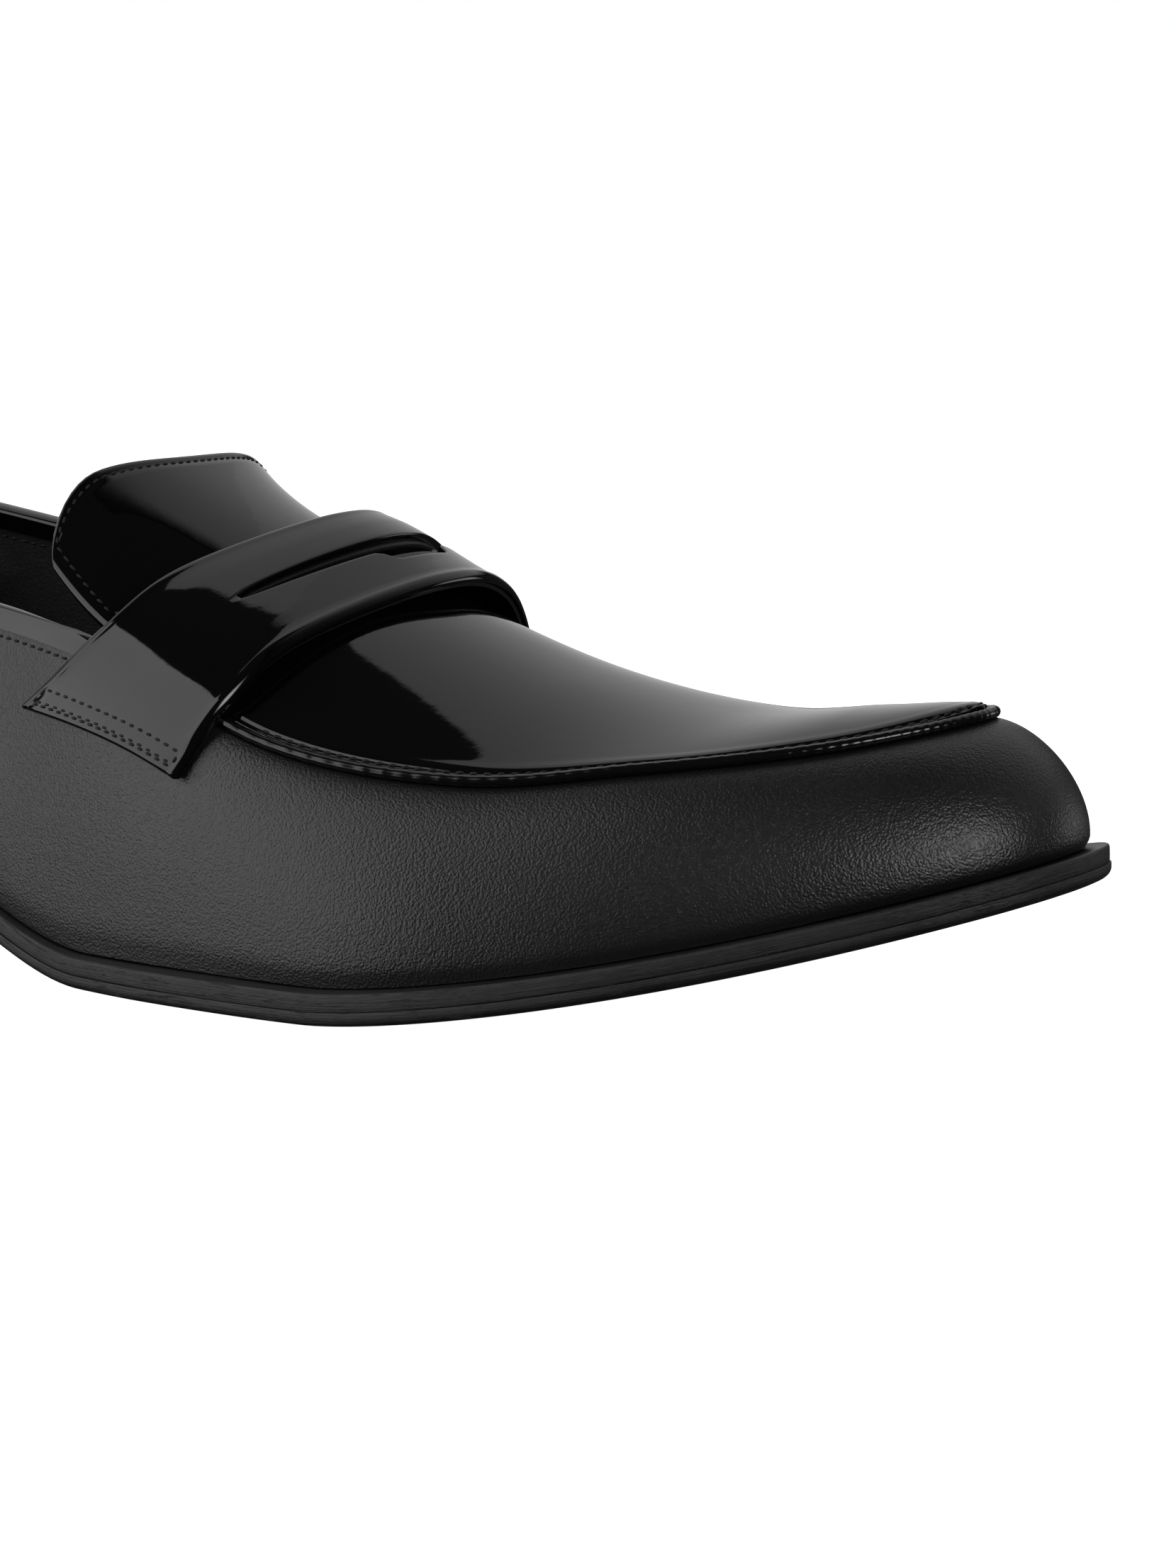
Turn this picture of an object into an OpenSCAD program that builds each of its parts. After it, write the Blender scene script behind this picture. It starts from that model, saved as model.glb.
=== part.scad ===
// Penny loafer, right foot: lasted upper with a raised plug and saddle strap on a
// leather-soled welt construction with a stacked heel.
// Frame: millimetres, origin at the middle of the heel's ground face, +X to the toe,
// +Y to the inner (medial) side of the foot, +Z up.

/* [Last] */
// Length of the last, heel back to toe point
last_l = 288; // [240:2:350]
// Width of the last across the ball of the foot
ball_w = 101; // [86:1:124]
// Width of the last across the heel seat
heel_w = 62; // [54:1:76]
// Lift of the sole at the toe point
toe_spring = 22; // [14:0.5:28]

/* [Upper heights above the welt] */
// Height of the upper at the heel back
back_h = 66; // [54:1:80]
// Height of the topline at its lowest point
dip_h = 40; // [34:1:48]
// Height of the upper where the saddle strap crosses it
waist_h = 51; // [44:1:58]
// Height of the upper along the side of the plug
side_h = 29; // [25:1:35]
// Height of the upper at the tip of the plug
tip_h = 20.5; // [18:0.5:25]
// Rise of the plug over its edges at the instep
instep_crown = 17.5; // [13:0.5:21]
// Rise of the plug over its edges at the toes
toe_crown = 4; // [3:0.2:7]

/* [Leather] */
// Thickness of the upper leather
upper_t = 1.4; // [1:0.1:2]
// Thickness of the lining leather
lining_t = 0.9; // [0.6:0.1:1.2]
// Thickness of the patent leather of plug, strap and tongue
patent_t = 1.3; // [0.9:0.1:1.7]
// Thickness of the toe puff and heel counter
stiffener_t = 1; // [0.6:0.1:1.4]
// Width of the lasting margin under the insole
margin_w = 8; // [6:0.5:10]
// Thickness of the cement under the lasting margin
cement_t = 0.25; // [0.2:0.05:0.4]
// Clearance between pieces that lie on each other
gap = 0.1; // [0.05:0.05:0.2]

/* [Saddle strap] */
// Position of the strap's rear lower corner ahead of the heel centre
strap_x = 84; // [74:1:94]
// Width of the strap at its sewn ends
strap_end_w = 36.5; // [28:0.5:42]
// Width of the strap over the instep
strap_mid_w = 24; // [20:1:30]
// Distance from the topline down to the strap's sewn end
strap_drop = 15; // [10:1:18]
// Height of the strap's arch over the plug
strap_gap = 2.2; // [1.8:0.1:4]
// Length of the coin slot
slot_l = 47; // [36:1:54]
// Width of the coin slot at its middle
slot_w = 2.4; // [1.6:0.2:3.2]
// Width of the notch in the slot's front lip
notch_w = 14; // [10:1:18]
// Depth of the notch in the slot's front lip
notch_d = 2.6; // [1.6:0.2:3.4]

/* [Tongue] */
// Length of the tongue behind the strap, along the instep
tongue_l = 31; // [24:1:38]
// Width of the tongue at its free end
tongue_w = 70; // [58:1:74]
// Share of the tongue length cut away where its corners are rounded
corner_cut = 0.38; // [0.1:0.02:0.6]
// Clearance between the tongue's front edge and the plug
tongue_gap = 1.4; // [1:0.1:2]

/* [Edge trims] */
// Radius of the bead around the plug
bead_r = 1; // [0.7:0.1:1.3]
// Depth of the topline binding
binding_h = 3; // [2:0.5:5]
// Thickness of the topline binding
binding_t = 0.8; // [0.5:0.1:1.1]
// Thickness of the back strip
back_strip_t = 1; // [0.7:0.1:1.3]

/* [Sole] */
// Thickness of the outsole
outsole_t = 2.5; // [2:0.1:5]
// Thickness of the welt
welt_t = 3; // [2.2:0.2:4]
// How far the welt stands out around the forefoot
welt_ext = 3.4; // [2:0.2:6]
// How far the outsole stands out past the welt
sole_step = 0.3; // [0:0.1:0.8]
// How far the welt stands out around the waist and heel
waist_ext = 1.4; // [1:0.2:3]
// Width of the welt under the upper
welt_in = 6; // [4:0.5:7]
// Thickness of the insole board
insole_t = 2.2; // [1.6:0.2:3]
// Thickness of the sock liner
sock_t = 1.2; // [0.8:0.1:1.6]
// Thickness of the heel pad
pad_t = 2.5; // [1.5:0.5:4]
// Length of the steel shank
shank_l = 100; // [80:2:120]
// Width of the steel shank
shank_w = 12; // [9:1:15]
// Thickness of the steel shank
shank_t = 1.2; // [0.8:0.1:1.6]

/* [Heel] */
// Height of the heel under the outsole
heel_h = 21; // [16:1:27]
// Thickness of the rubber top piece
top_piece_t = 6; // [4:0.5:8]
// Position of the heel's front face ahead of the heel centre
breast_x = 33; // [28:1:38]
// Inset of each heel layer under the one above it
layer_step = 0.5; // [0:0.1:0.8]
// Diameter of the heel nails
nail_d = 2; // [1.6:0.1:2.6]
// Length of the heel nails
heel_nail_l = 18; // [14:1:20]
// Length of the top-piece nails
top_nail_l = 9; // [7.5:0.5:10]
// Depth of the top-piece nail heads under the ground face
nail_sink = 0.6; // [0.3:0.1:1]

/* [Hidden] */

// ---------------------------------------------------------------- the last
// Each station: feather line x, y; top line x, y; height of the top line.
// Station 0 is the heel back, 1 to 10 run along the outer side, 11 is the toe, 12 to 21 return.
STATIONS = [
  [-33,   0,   -31,   0,    back_h],
  [-22, -23,   -26, -18,    back_h - 3],
  [0,   -31,    -4, -27,    (back_h + dip_h) / 2],
  [34,  -33,    30, -28,    dip_h],
  [73,  -37.5,  68, -32.5,  waist_h - 1],
  [113, -47,   101, -40,    waist_h],
  [148, -51.5, 134, -42.5,  mix(side_h, waist_h, 0.36)],
  [178, -48,   166, -39,    side_h],
  [207, -39,   194, -31,    mix(side_h, tip_h, 0.37)],
  [232, -26.5, 217, -19.5,  mix(side_h, tip_h, 0.76)],
  [249, -12.5, 231, -8,     tip_h],
  [255,   2.5, 238,  4.5,   tip_h],
  [251,  18,   233, 15.5,   tip_h],
  [236,  32.5, 219, 26.5,   mix(side_h, tip_h, 0.9)],
  [210,  44,   196, 36,     mix(side_h, tip_h, 0.43)],
  [179,  49.5, 167, 41,     side_h + 1],
  [149,  47,   136, 41.5,   mix(side_h, waist_h, 0.42)],
  [114,  36.5, 103, 37.5,   waist_h + 1],
  [74,   27.5,  69, 30,     waist_h + 3],
  [34,   28,    31, 27.5,   dip_h + 7],
  [0,    31,    -4, 26,     (back_h + dip_h) / 2],
  [-22,  23,   -26, 18,     back_h - 3]
];
STATION_N = len(STATIONS);
TOE = 11;
LAST_L = 288;
BALL_W = 101;
HEEL_W = 62;
// Where the heel width hands over to the ball width along the last
WIDTH_SPLIT = [30, 130];

len_k = last_l / LAST_L;
x_toe = 255 * len_k;

function mix(a, b, u) = a + (b - a) * u;
function clamp01(u) = min(1, max(0, u));
function smooth(a, b, x) = let (u = clamp01((x - a) / (b - a))) u * u * (3 - 2 * u);
function unit(v) = v / norm(v);
function flat_unit(v) = unit([v.x, v.y, 0]);
function width_k(x) = mix(heel_w / HEEL_W, ball_w / BALL_W, smooth(WIDTH_SPLIT[0], WIDTH_SPLIT[1], x));

// Underside of the outsole over the ground, along the length of the shoe
arch_from = breast_x + 1;
arch_to = 98 * len_k;
roll_x = 146 * len_k;
SPRING_POWER = 1.45;
function ground_z(x) = heel_h * (1 - smooth(arch_from, arch_to, x))
    + toe_spring * pow(max(0, (x - roll_x) / (x_toe - roll_x)), SPRING_POWER);
function feather_z(x) = ground_z(x) + outsole_t + welt_t;

FEATHER = [for (s = STATIONS) let (x = s[0] * len_k) [x, s[1] * width_k(s[0]), feather_z(x)]];
TOP = [for (s = STATIONS) let (x = s[2] * len_k)
    [x, s[3] * width_k(s[2]), feather_z(s[0] * len_k) + s[4]]];

// Closed Catmull-Rom curve through a list of points; u counts stations and wraps around
function blend(a, b, c, d, u) =
    0.5 * (2 * b + (c - a) * u + (2 * a - 5 * b + 4 * c - d) * u * u + (3 * b - a - 3 * c + d) * u * u * u);
function wrap(i) = ((i % STATION_N) + STATION_N) % STATION_N;
function around(points, u) = let (i = floor(u))
    blend(points[wrap(i - 1)], points[wrap(i)], points[wrap(i + 1)], points[wrap(i + 2)], u - i);
function feather(u) = let (p = around(FEATHER, u)) [p.x, p.y, feather_z(p.x)];
function top(u) = around(TOP, u);
STEP = 0.05;
function outward(u) = let (d = feather(u + STEP) - feather(u - STEP)) flat_unit([d.y, -d.x, 0]);

// ---------------------------------------------------------------- the side wall of the upper
// u runs around the shoe in stations, v up the wall from the feather line to the top line.
LOW_RISE = 0.45;
LOW_BULGE = 1.7;
FRONT_LEAN = 0.52;
LEAST_LEAN = 1;
REAR_BULGE = 2;
REAR_RISE = 0.35;
function wall_skin(u, v) =
    let (b = feather(u), t = top(u), n = outward(u), h = t.z - b.z,
         front = smooth(60 * len_k, 110 * len_k, b.x),
         lean = max(LEAST_LEAN, (b - t) * n * FRONT_LEAN),
         low = b + n * LOW_BULGE + [0, 0, h * LOW_RISE],
         high = t + n * mix(REAR_BULGE, lean, front) - [0, 0, h * REAR_RISE * (1 - front)],
         w = 1 - v)
    w * w * w * b + 3 * w * w * v * low + 3 * w * v * v * high + v * v * v * t;
function wall_normal(u, v) =
    let (v0 = min(v, 1 - STEP), du = wall_skin(u + STEP, v) - wall_skin(u - STEP, v),
         dv = wall_skin(u, v0 + STEP) - wall_skin(u, v0))
    unit(cross(du, dv));
// Point at a depth under the leather's outer skin; a negative depth stands off it
function wall(u, v, depth) = wall_skin(u, v) - depth * wall_normal(u, v);
// Height up the wall of the point that lies a distance under the top line
function drop_v(u, drop) = solve(function (v) wall_skin(u, v).z, top(u).z - drop, 0, 1);

// Extra room between upper and lining for the toe puff and heel counter
PUFF_HALF = 2.75;
COUNTER_HALF = 2.75;
RAMP = 0.5;
PUFF_TOP = 0.83;
COUNTER_TOP = 0.71;
function from_toe(u) = abs(wrap(floor(u)) + u - floor(u) - TOE);
function from_heel(u) = TOE - from_toe(u);
function pocket(u, v) = (stiffener_t + gap) * max(
    (1 - smooth(PUFF_HALF, PUFF_HALF + RAMP, from_toe(u))) * (1 - smooth(PUFF_TOP, 0.95, v)),
    (1 - smooth(COUNTER_HALF, COUNTER_HALF + RAMP, from_heel(u))) * (1 - smooth(COUNTER_TOP, 0.86, v)));
function lining_out(u, v) = upper_t + gap + pocket(u, v);
function lining_in(u, v) = lining_out(u, v) + lining_t;

// ---------------------------------------------------------------- the plug over the instep
// u from REAR_U (under the strap) to TIP_U (the toe end); w from -1 (outer edge) to 1 (inner edge)
REAR_U = 4.9;
TIP_U = 10.75;
CROWN = [instep_crown * 0.4, instep_crown * 0.76, instep_crown, instep_crown * 0.7, toe_crown * 1.2,
         toe_crown, toe_crown * 0.6, toe_crown * 0.2, toe_crown * 0.2];
BOW = [30, 18, 6, 2, 1, 1, 1, 0, 0];
SKEW = [8, 7, 3, 0, 0, 0, 0, 0, 0];
SWEEP = [4, 3.5, 2, 1, 0, 0, 0, 0, 0];
ROW_FROM = 4;
CROWN_POWER = 2.15;
function row(list, u) = let (i = floor(u) - ROW_FROM, n = len(list) - 1)
    blend(list[max(0, i - 1)], list[min(n, i)], list[min(n, i + 1)], list[min(n, i + 2)], u - floor(u));
function tip_bow(u) = smooth(TIP_U - 1.2, TIP_U, u) * ((top(TOE) - top(TIP_U)).x);
function plug_skin(u, w) =
    let (a = top(u), b = top(2 * TOE - u), m = mix(a, b, (w + 1) / 2), q = 1 - w * w)
    m + [(row(BOW, u) + w * row(SWEEP, u) + tip_bow(u)) * q, row(SKEW, u) * q,
         row(CROWN, u) * (1 - pow(abs(w), CROWN_POWER)) + gap + patent_t];
function plug_normal(u, w) =
    let (u0 = min(u, TIP_U - STEP), w0 = min(w, 1 - STEP))
    unit(cross(plug_skin(u0 + STEP, w) - plug_skin(u0, w), plug_skin(u, w0 + STEP) - plug_skin(u, w0)));
function plug_at(u, w, depth) = plug_skin(u, w) - depth * plug_normal(u, w);

// Bisection: the station at which a rising function of u reaches a target
function solve(f, target, lo, hi, n = 18) = let (m = (lo + hi) / 2)
    n == 0 ? m : f(m) < target ? solve(f, target, m, hi, n - 1) : solve(f, target, lo, m, n - 1);

// ---------------------------------------------------------------- the saddle strap
// k runs from the rear edge (0) to the front edge (1), q from the outer end (0) to the inner end (1).
STRAP_LOW = 0.35;
STRAP_CLEAR = 0.7;
END_SLANT = 6.5;
INNER_SHIFT = 23;
MID_AHEAD = 33;
OUTER_SPREAD = 0.97;
strap_mid_x = strap_x * len_k + MID_AHEAD;
strap_t = patent_t + gap + lining_t;
function end_u(k) = solve(function (u) wall_skin(u, drop_v(u, strap_drop)).x,
    strap_x * len_k + k * strap_end_w * OUTER_SPREAD, 3, 8);
function inner_u(k) = 2 * TOE - solve(function (u) wall_skin(2 * TOE - u, drop_v(2 * TOE - u, strap_drop)).x,
    strap_x * len_k + INNER_SHIFT + k * (strap_end_w - END_SLANT), 3, 8);
function mid_u(k) = solve(function (u) plug_skin(u, 0).x, strap_mid_x + k * strap_mid_w, ROW_FROM + 0.5, 8);
function part_way(a, b, f) = [mix(a.x, b.x, f.x), mix(a.y, b.y, f.y), mix(a.z, b.z, f.z)];
OUTER_SHIFT = [0.54, 0.36];
INNER_SHIFT_U = 0.2;
OUT_LOW = -STRAP_LOW;
// How far the strap stands off the wall where it crosses the binding and the bead
function stand_off(k) = mix(binding_t, 2 * bead_r, smooth(0.3, 0.8, k)) + gap + STRAP_CLEAR;
// The shoulders of the arch, as shares of the way from the wall to the crown
OUTER_SHOULDER = [0.36, 0.31, 0.57];
INNER_SHOULDER = [0.8, 0.37, 0.8];
function strap_poles(k) =
    let (uo = end_u(k), ui = inner_u(k), um = mid_u(k),
         a = wall(uo, drop_v(uo, strap_drop), OUT_LOW), b = wall(uo + mix(OUTER_SHIFT.x, OUTER_SHIFT.y, k), 0.99, -stand_off(k)),
         c = plug_skin(um, 0) + [0, 0, strap_gap],
         d = wall(ui - INNER_SHIFT_U, 0.99, -stand_off(k)), e = wall(ui, drop_v(ui, strap_drop), OUT_LOW))
    [2 * a - b, a, b, part_way(b, c, OUTER_SHOULDER), c, part_way(d, c, INNER_SHOULDER), d, e, 2 * e - d];
STRAP_ROWS_N = 40;
function strap_line(poles, q) = let (s = min(q * 6, 5.9999), i = floor(s))
    blend(poles[i], poles[i + 1], poles[i + 2], poles[i + 3], s - i);

// ---------------------------------------------------------------- meshes
function flat(lists) = [for (l = lists) each l];
function quad(a, b, c, d) = [[a, b, c], [a, c, d]];

// A thin sheet between two grids of points, outer and inner, without the cells that skip names
module sheet(outer, inner, skip = function (i, j) false) {
    rows = len(outer);
    cols = len(outer[0]);
    count = rows * cols;
    filled = function (i, j) i >= 0 && j >= 0 && i < rows - 1 && j < cols - 1 && !skip(i, j);
    id = function (i, j) i * cols + j;
    faces = flat([for (i = [0 : rows - 2]) for (j = [0 : cols - 2]) if (filled(i, j))
        let (a = id(i, j), b = id(i + 1, j), c = id(i + 1, j + 1), d = id(i, j + 1))
        concat(quad(a, b, c, d), quad(count + a, count + d, count + c, count + b),
            filled(i, j - 1) ? [] : quad(b, a, count + a, count + b),
            filled(i, j + 1) ? [] : quad(d, c, count + c, count + d),
            filled(i - 1, j) ? [] : quad(a, d, count + d, count + a),
            filled(i + 1, j) ? [] : quad(c, b, count + b, count + c))]);
    polyhedron(concat(flat(outer), flat(inner)), faces, convexity = 8);
}

// A closed loop of equal cross-sections, joined last to first
module ring_sweep(sections) {
    n = len(sections);
    m = len(sections[0]);
    faces = flat([for (i = [0 : n - 1]) for (j = [0 : m - 1])
        let (a = i * m + j, b = ((i + 1) % n) * m + j, k = (j + 1) % m)
        quad(a, b, ((i + 1) % n) * m + k, i * m + k)]);
    polyhedron(flat(sections), faces, convexity = 8);
}

// An open run of equal cross-sections with flat ends
module run_sweep(sections) {
    n = len(sections);
    m = len(sections[0]);
    sides = flat([for (i = [0 : n - 2]) for (j = [0 : m - 1])
        let (k = (j + 1) % m) quad(i * m + j, (i + 1) * m + j, (i + 1) * m + k, i * m + k)]);
    caps = concat([for (j = [1 : m - 2]) [0, j, j + 1]],
        [for (j = [1 : m - 2]) [(n - 1) * m, (n - 1) * m + j + 1, (n - 1) * m + j]]);
    polyhedron(flat(sections), concat(sides, caps), convexity = 8);
}

// ---------------------------------------------------------------- sole layers
AROUND_N = 4 * STATION_N;
OUTLINE_N = AROUND_N;
PROFILE_N = 36;
FOOT_LEAN = 1.2;
CUT_BELOW = 5;
CUT_H = 120;
CUT_HALF = 100;
function ext_at(x, wide) = mix(waist_ext, wide, smooth(70 * len_k, 120 * len_k, x));
// The feather line moved outward by a distance that may follow x
function outline(out) = [for (i = [0 : OUTLINE_N - 1]) let (u = i * STATION_N / OUTLINE_N, p = feather(u))
    [p.x, p.y] + out(p.x) * [outward(u).x, outward(u).y]];
x_back = (STATIONS[0][0] - 12) * len_k;
x_front = x_toe + 12;

// A layer of the sole: the outline between two heights over the outsole's underside
module layer(points, low, high) {
    xs = concat([x_back], [for (i = [-2 : PROFILE_N]) arch_from + i * (x_front - arch_from) / PROFILE_N]);
    intersection() {
        translate([0, 0, -CUT_BELOW]) linear_extrude(CUT_H) polygon(points);
        translate([0, CUT_HALF, 0]) rotate([90, 0, 0]) linear_extrude(2 * CUT_HALF)
            polygon(concat([for (x = xs) [x, ground_z(x) + low(x)]],
                [for (i = [len(xs) - 1 : -1 : 0]) [xs[i], ground_z(xs[i]) + high(xs[i])]]));
    }
}

welt_edge = outline(function (x) ext_at(x, welt_ext));
// The insole stays inside the feet of the lining, which lean in at the feather
inner_edge = outline(function (x) -((upper_t + lining_t + stiffener_t + 2 * gap) * FOOT_LEAN + 3 * gap));
welt_top = outsole_t + welt_t;
insole_low = welt_top + upper_t + 2 * gap;
insole_top = insole_low + insole_t;
PAD_END = [-8, 10];
function pad_rise(x) = (pad_t + gap) * (1 - smooth(arch_from + PAD_END[0], arch_from + PAD_END[1], x));

HEEL_NAILS = [[-20, 0], [-12, -15], [-12, 15], [12, -17], [12, 17]];
TOP_NAILS = [[-22, 0], [-15, -15], [-15, 15], [6, -20], [6, 20], [24, -12], [24, 12]];
function nail_place(p) = [p.x * len_k, p.y * heel_w / HEEL_W];
heel_nail_z = heel_h + insole_top - heel_nail_l;
NAIL_FIT = 0.05;
HEAD_T = 0.8;
module heel_nail_shafts(play) {
    for (p = HEEL_NAILS)
        translate(concat(nail_place(p), heel_nail_z - play))
            cylinder(d = nail_d + 2 * play, h = heel_nail_l + 2 * play, $fn = 32);
}
module top_nail_shafts(play) {
    for (p = TOP_NAILS)
        translate(concat(nail_place(p), nail_sink - play))
            cylinder(d = nail_d + 2 * play, h = top_nail_l + 2 * play, $fn = 32);
}
module top_nail_heads(play, depth) {
    for (p = TOP_NAILS)
        translate(concat(nail_place(p), nail_sink - depth))
            cylinder(d = 2 * nail_d + 2 * play, h = HEAD_T + depth + play, $fn = 32);
}

module outsole() {
    color([0.05, 0.05, 0.05]) difference() {
        layer(outline(function (x) ext_at(x, welt_ext) + sole_step), function (x) 0, function (x) outsole_t);
        heel_nail_shafts(NAIL_FIT);
    }
}

module welt() {
    color([0.07, 0.07, 0.07]) difference() {
        layer(welt_edge, function (x) outsole_t, function (x) welt_top);
        translate([0, 0, -CUT_BELOW]) linear_extrude(CUT_H)
            polygon(outline(function (x) -welt_in));
    }
}

shank_x = -8;
module shank_bar(play) {
    half = shank_w / 2 + play;
    x0 = shank_x - play;
    x1 = shank_x + shank_l + play;
    layer([[x0 + half / 2, -half], [x1 - half / 2, -half], [x1, 0], [x1 - half / 2, half],
        [x0 + half / 2, half], [x0, 0]],
        function (x) outsole_t + 1 - play, function (x) outsole_t + 1 + shank_t + play);
}

module cork_filler() {
    color([0.55, 0.4, 0.26]) difference() {
        layer(outline(function (x) -(margin_w + 0.6)),
            function (x) outsole_t + gap, function (x) insole_low - gap);
        shank_bar(gap);
        heel_nail_shafts(NAIL_FIT);
    }
}

module shank() {
    color([0.6, 0.62, 0.65]) shank_bar(0);
}

module insole() {
    color([0.6, 0.47, 0.33]) difference() {
        layer(inner_edge, function (x) insole_low, function (x) insole_top);
        heel_nail_shafts(NAIL_FIT);
    }
}

module heel_pad() {
    inset = 7;
    color([0.75, 0.72, 0.62]) intersection() {
        layer(outline(function (x) -(upper_t + lining_t + stiffener_t + inset)),
            function (x) insole_top + gap, function (x) insole_top + pad_rise(x));
        translate([x_back, -CUT_HALF, 0]) cube([arch_from + PAD_END[1] / 2 - x_back, 2 * CUT_HALF, CUT_H]);
    }
}

module sock_liner() {
    color([0.04, 0.04, 0.04]) layer(outline(function (x) -(upper_t + lining_t + stiffener_t + 1.2)),
        function (x) insole_top + gap + pad_rise(x), function (x) insole_top + gap + pad_rise(x) + sock_t);
}

// The heel: three leather lifts over a rubber top piece, each a little inside the layer above
lift_t = (heel_h - top_piece_t) / 3;
module heel_layer(z, t, steps) {
    translate([0, 0, z]) linear_extrude(t) intersection() {
        polygon(outline(function (x) waist_ext - steps * layer_step));
        translate([x_back, -CUT_HALF]) square([breast_x - steps * layer_step - x_back, 2 * CUT_HALF]);
    }
}

module heel_lift(i) {
    color([0.06, 0.055, 0.05]) difference() {
        heel_layer(top_piece_t + (i - 1) * lift_t, lift_t, 4 - i);
        heel_nail_shafts(NAIL_FIT);
        top_nail_shafts(NAIL_FIT);
    }
}

module heel_lift_1() {
    heel_lift(1);
}

module heel_lift_2() {
    heel_lift(2);
}

module heel_lift_3() {
    heel_lift(3);
}

module top_piece() {
    color([0.03, 0.03, 0.03]) difference() {
        heel_layer(0, top_piece_t, 4);
        top_nail_shafts(NAIL_FIT);
        top_nail_heads(NAIL_FIT, nail_sink + 1);
    }
}

module top_piece_nails() {
    color([0.7, 0.58, 0.3]) {
        top_nail_shafts(0);
        top_nail_heads(0, 0);
    }
}

module heel_nails() {
    color([0.6, 0.6, 0.62]) heel_nail_shafts(0);
}

// ---------------------------------------------------------------- upper pieces
WALL_V = [0, 0.1, 0.24, 0.4, 0.56, 0.7, 0.82, 0.92, 1];
SKIVE = 0.8;
// Point under the upper, inside the feather line and above the welt
function seat(u, inside, above) = let (p = feather(u) - inside * outward(u))
    [p.x, p.y, feather_z(p.x) + above];

module vamp() {
    color([0.05, 0.05, 0.05]) ring_sweep([for (i = [0 : AROUND_N - 1])
        let (u = i * STATION_N / AROUND_N)
        concat([seat(u, 0, cement_t)], [for (j = [1 : len(WALL_V) - 1]) wall(u, WALL_V[j], 0)],
            [for (j = [len(WALL_V) - 1 : -1 : 1]) wall(u, WALL_V[j], upper_t)],
            [seat(u, upper_t * FOOT_LEAN, upper_t), seat(u, margin_w, upper_t * SKIVE),
                seat(u, margin_w, cement_t)])]);
}

module lining() {
    foot_z = upper_t + gap;
    color([0.03, 0.03, 0.03]) ring_sweep([for (i = [0 : AROUND_N - 1])
        let (u = i * STATION_N / AROUND_N)
        concat([seat(u, lining_out(u, 0) * FOOT_LEAN, foot_z)],
            [for (j = [1 : len(WALL_V) - 1]) wall(u, WALL_V[j], lining_out(u, WALL_V[j]))],
            [for (j = [len(WALL_V) - 1 : -1 : 1]) wall(u, WALL_V[j], lining_in(u, WALL_V[j]))],
            [seat(u, lining_in(u, 0) * FOOT_LEAN, foot_z)])]);
}

// A piece that lies against the wall between two depths
module wall_patch(us, vs, near, far) {
    sheet([for (u = us) [for (v = vs) wall(u, v, near)]], [for (u = us) [for (v = vs) wall(u, v, far)]]);
}

// Stiffeners end a quarter station short of the pocket that the lining leaves for them
function stations(from, to) = [for (i = [from * 4 : to * 4]) i / 4];
function rows_between(low, high) = [for (v = WALL_V) if (v >= low && v <= high) v];
stiffener_out = upper_t + gap;
stiffener_in = stiffener_out + stiffener_t;

module toe_puff() {
    color([0.8, 0.76, 0.66]) wall_patch(stations(TOE - PUFF_HALF, TOE + PUFF_HALF),
        rows_between(0.05, PUFF_TOP), stiffener_out, stiffener_in);
}

module heel_counter() {
    color([0.8, 0.76, 0.66]) wall_patch(stations(-COUNTER_HALF, COUNTER_HALF),
        rows_between(0.05, COUNTER_TOP), stiffener_out, stiffener_in);
}

module back_strip() {
    top_v = drop_v(0, binding_h + 1);
    half = 0.5;
    color([0.05, 0.05, 0.05]) wall_patch([for (i = [-2 : 2]) i * half / 2],
        concat(rows_between(0.05, top_v - 0.02), top_v), -gap - back_strip_t, -gap);
}

module topline_binding() {
    color([0.02, 0.02, 0.02]) run_sweep([for (i = [0 : 40])
        let (u = 2 * TOE - 5 + i / 4, v = drop_v(u, binding_h),
             inner = lining_in(u, 1) + 2 * gap, up = [0, 0, gap], n = wall_normal(u, 1), p = top(u))
        [wall(u, v, -2 * gap), wall(u, v, -2 * gap - binding_t), p + n * (2 * gap + binding_t) + up,
            p + n * gap + up + [0, 0, binding_t * 0.8], p - n * inner + up + [0, 0, binding_t * 0.8],
            p - n * (inner + binding_t) + up, wall(u, v, inner + binding_t), wall(u, v, inner),
            p - n * inner + up, p + n * gap + up]]);
}

PLUG_WS = [-1, -0.94, -0.82, -0.64, -0.42, -0.2, 0, 0.2, 0.42, 0.64, 0.82, 0.94, 1];
PLUG_US = concat(REAR_U, [for (i = [0 : 23]) 5 + i / 4]);
module plug() {
    color([0.02, 0.02, 0.02]) sheet([for (u = PLUG_US) [for (w = PLUG_WS) plug_at(u, w, 0)]],
        [for (u = PLUG_US) [for (w = PLUG_WS) plug_at(u, w, patent_t)]]);
}

module plug_lining() {
    us = [for (u = PLUG_US) if (u < TIP_U - 0.5) u];
    ws = [for (w = PLUG_WS) if (abs(w) < 0.9) w];
    top_d = patent_t + gap;
    color([0.03, 0.03, 0.03]) sheet([for (u = us) [for (w = ws) plug_at(u, w, top_d)]],
        [for (u = us) [for (w = ws) plug_at(u, w, top_d + lining_t)]]);
}

BEAD_FROM = 5.76;
module plug_bead() {
    color([0.02, 0.02, 0.02]) run_sweep([for (i = [0 : 56])
        let (u = mix(BEAD_FROM, 2 * TOE - BEAD_FROM, i / 56), n = outward(u), c = top(u) + n * (bead_r + gap)
            + [0, 0, bead_r * 0.9])
        [for (a = [0 : 60 : 300]) c + bead_r * (n * cos(a) + [0, 0, sin(a)])]]);
}

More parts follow.
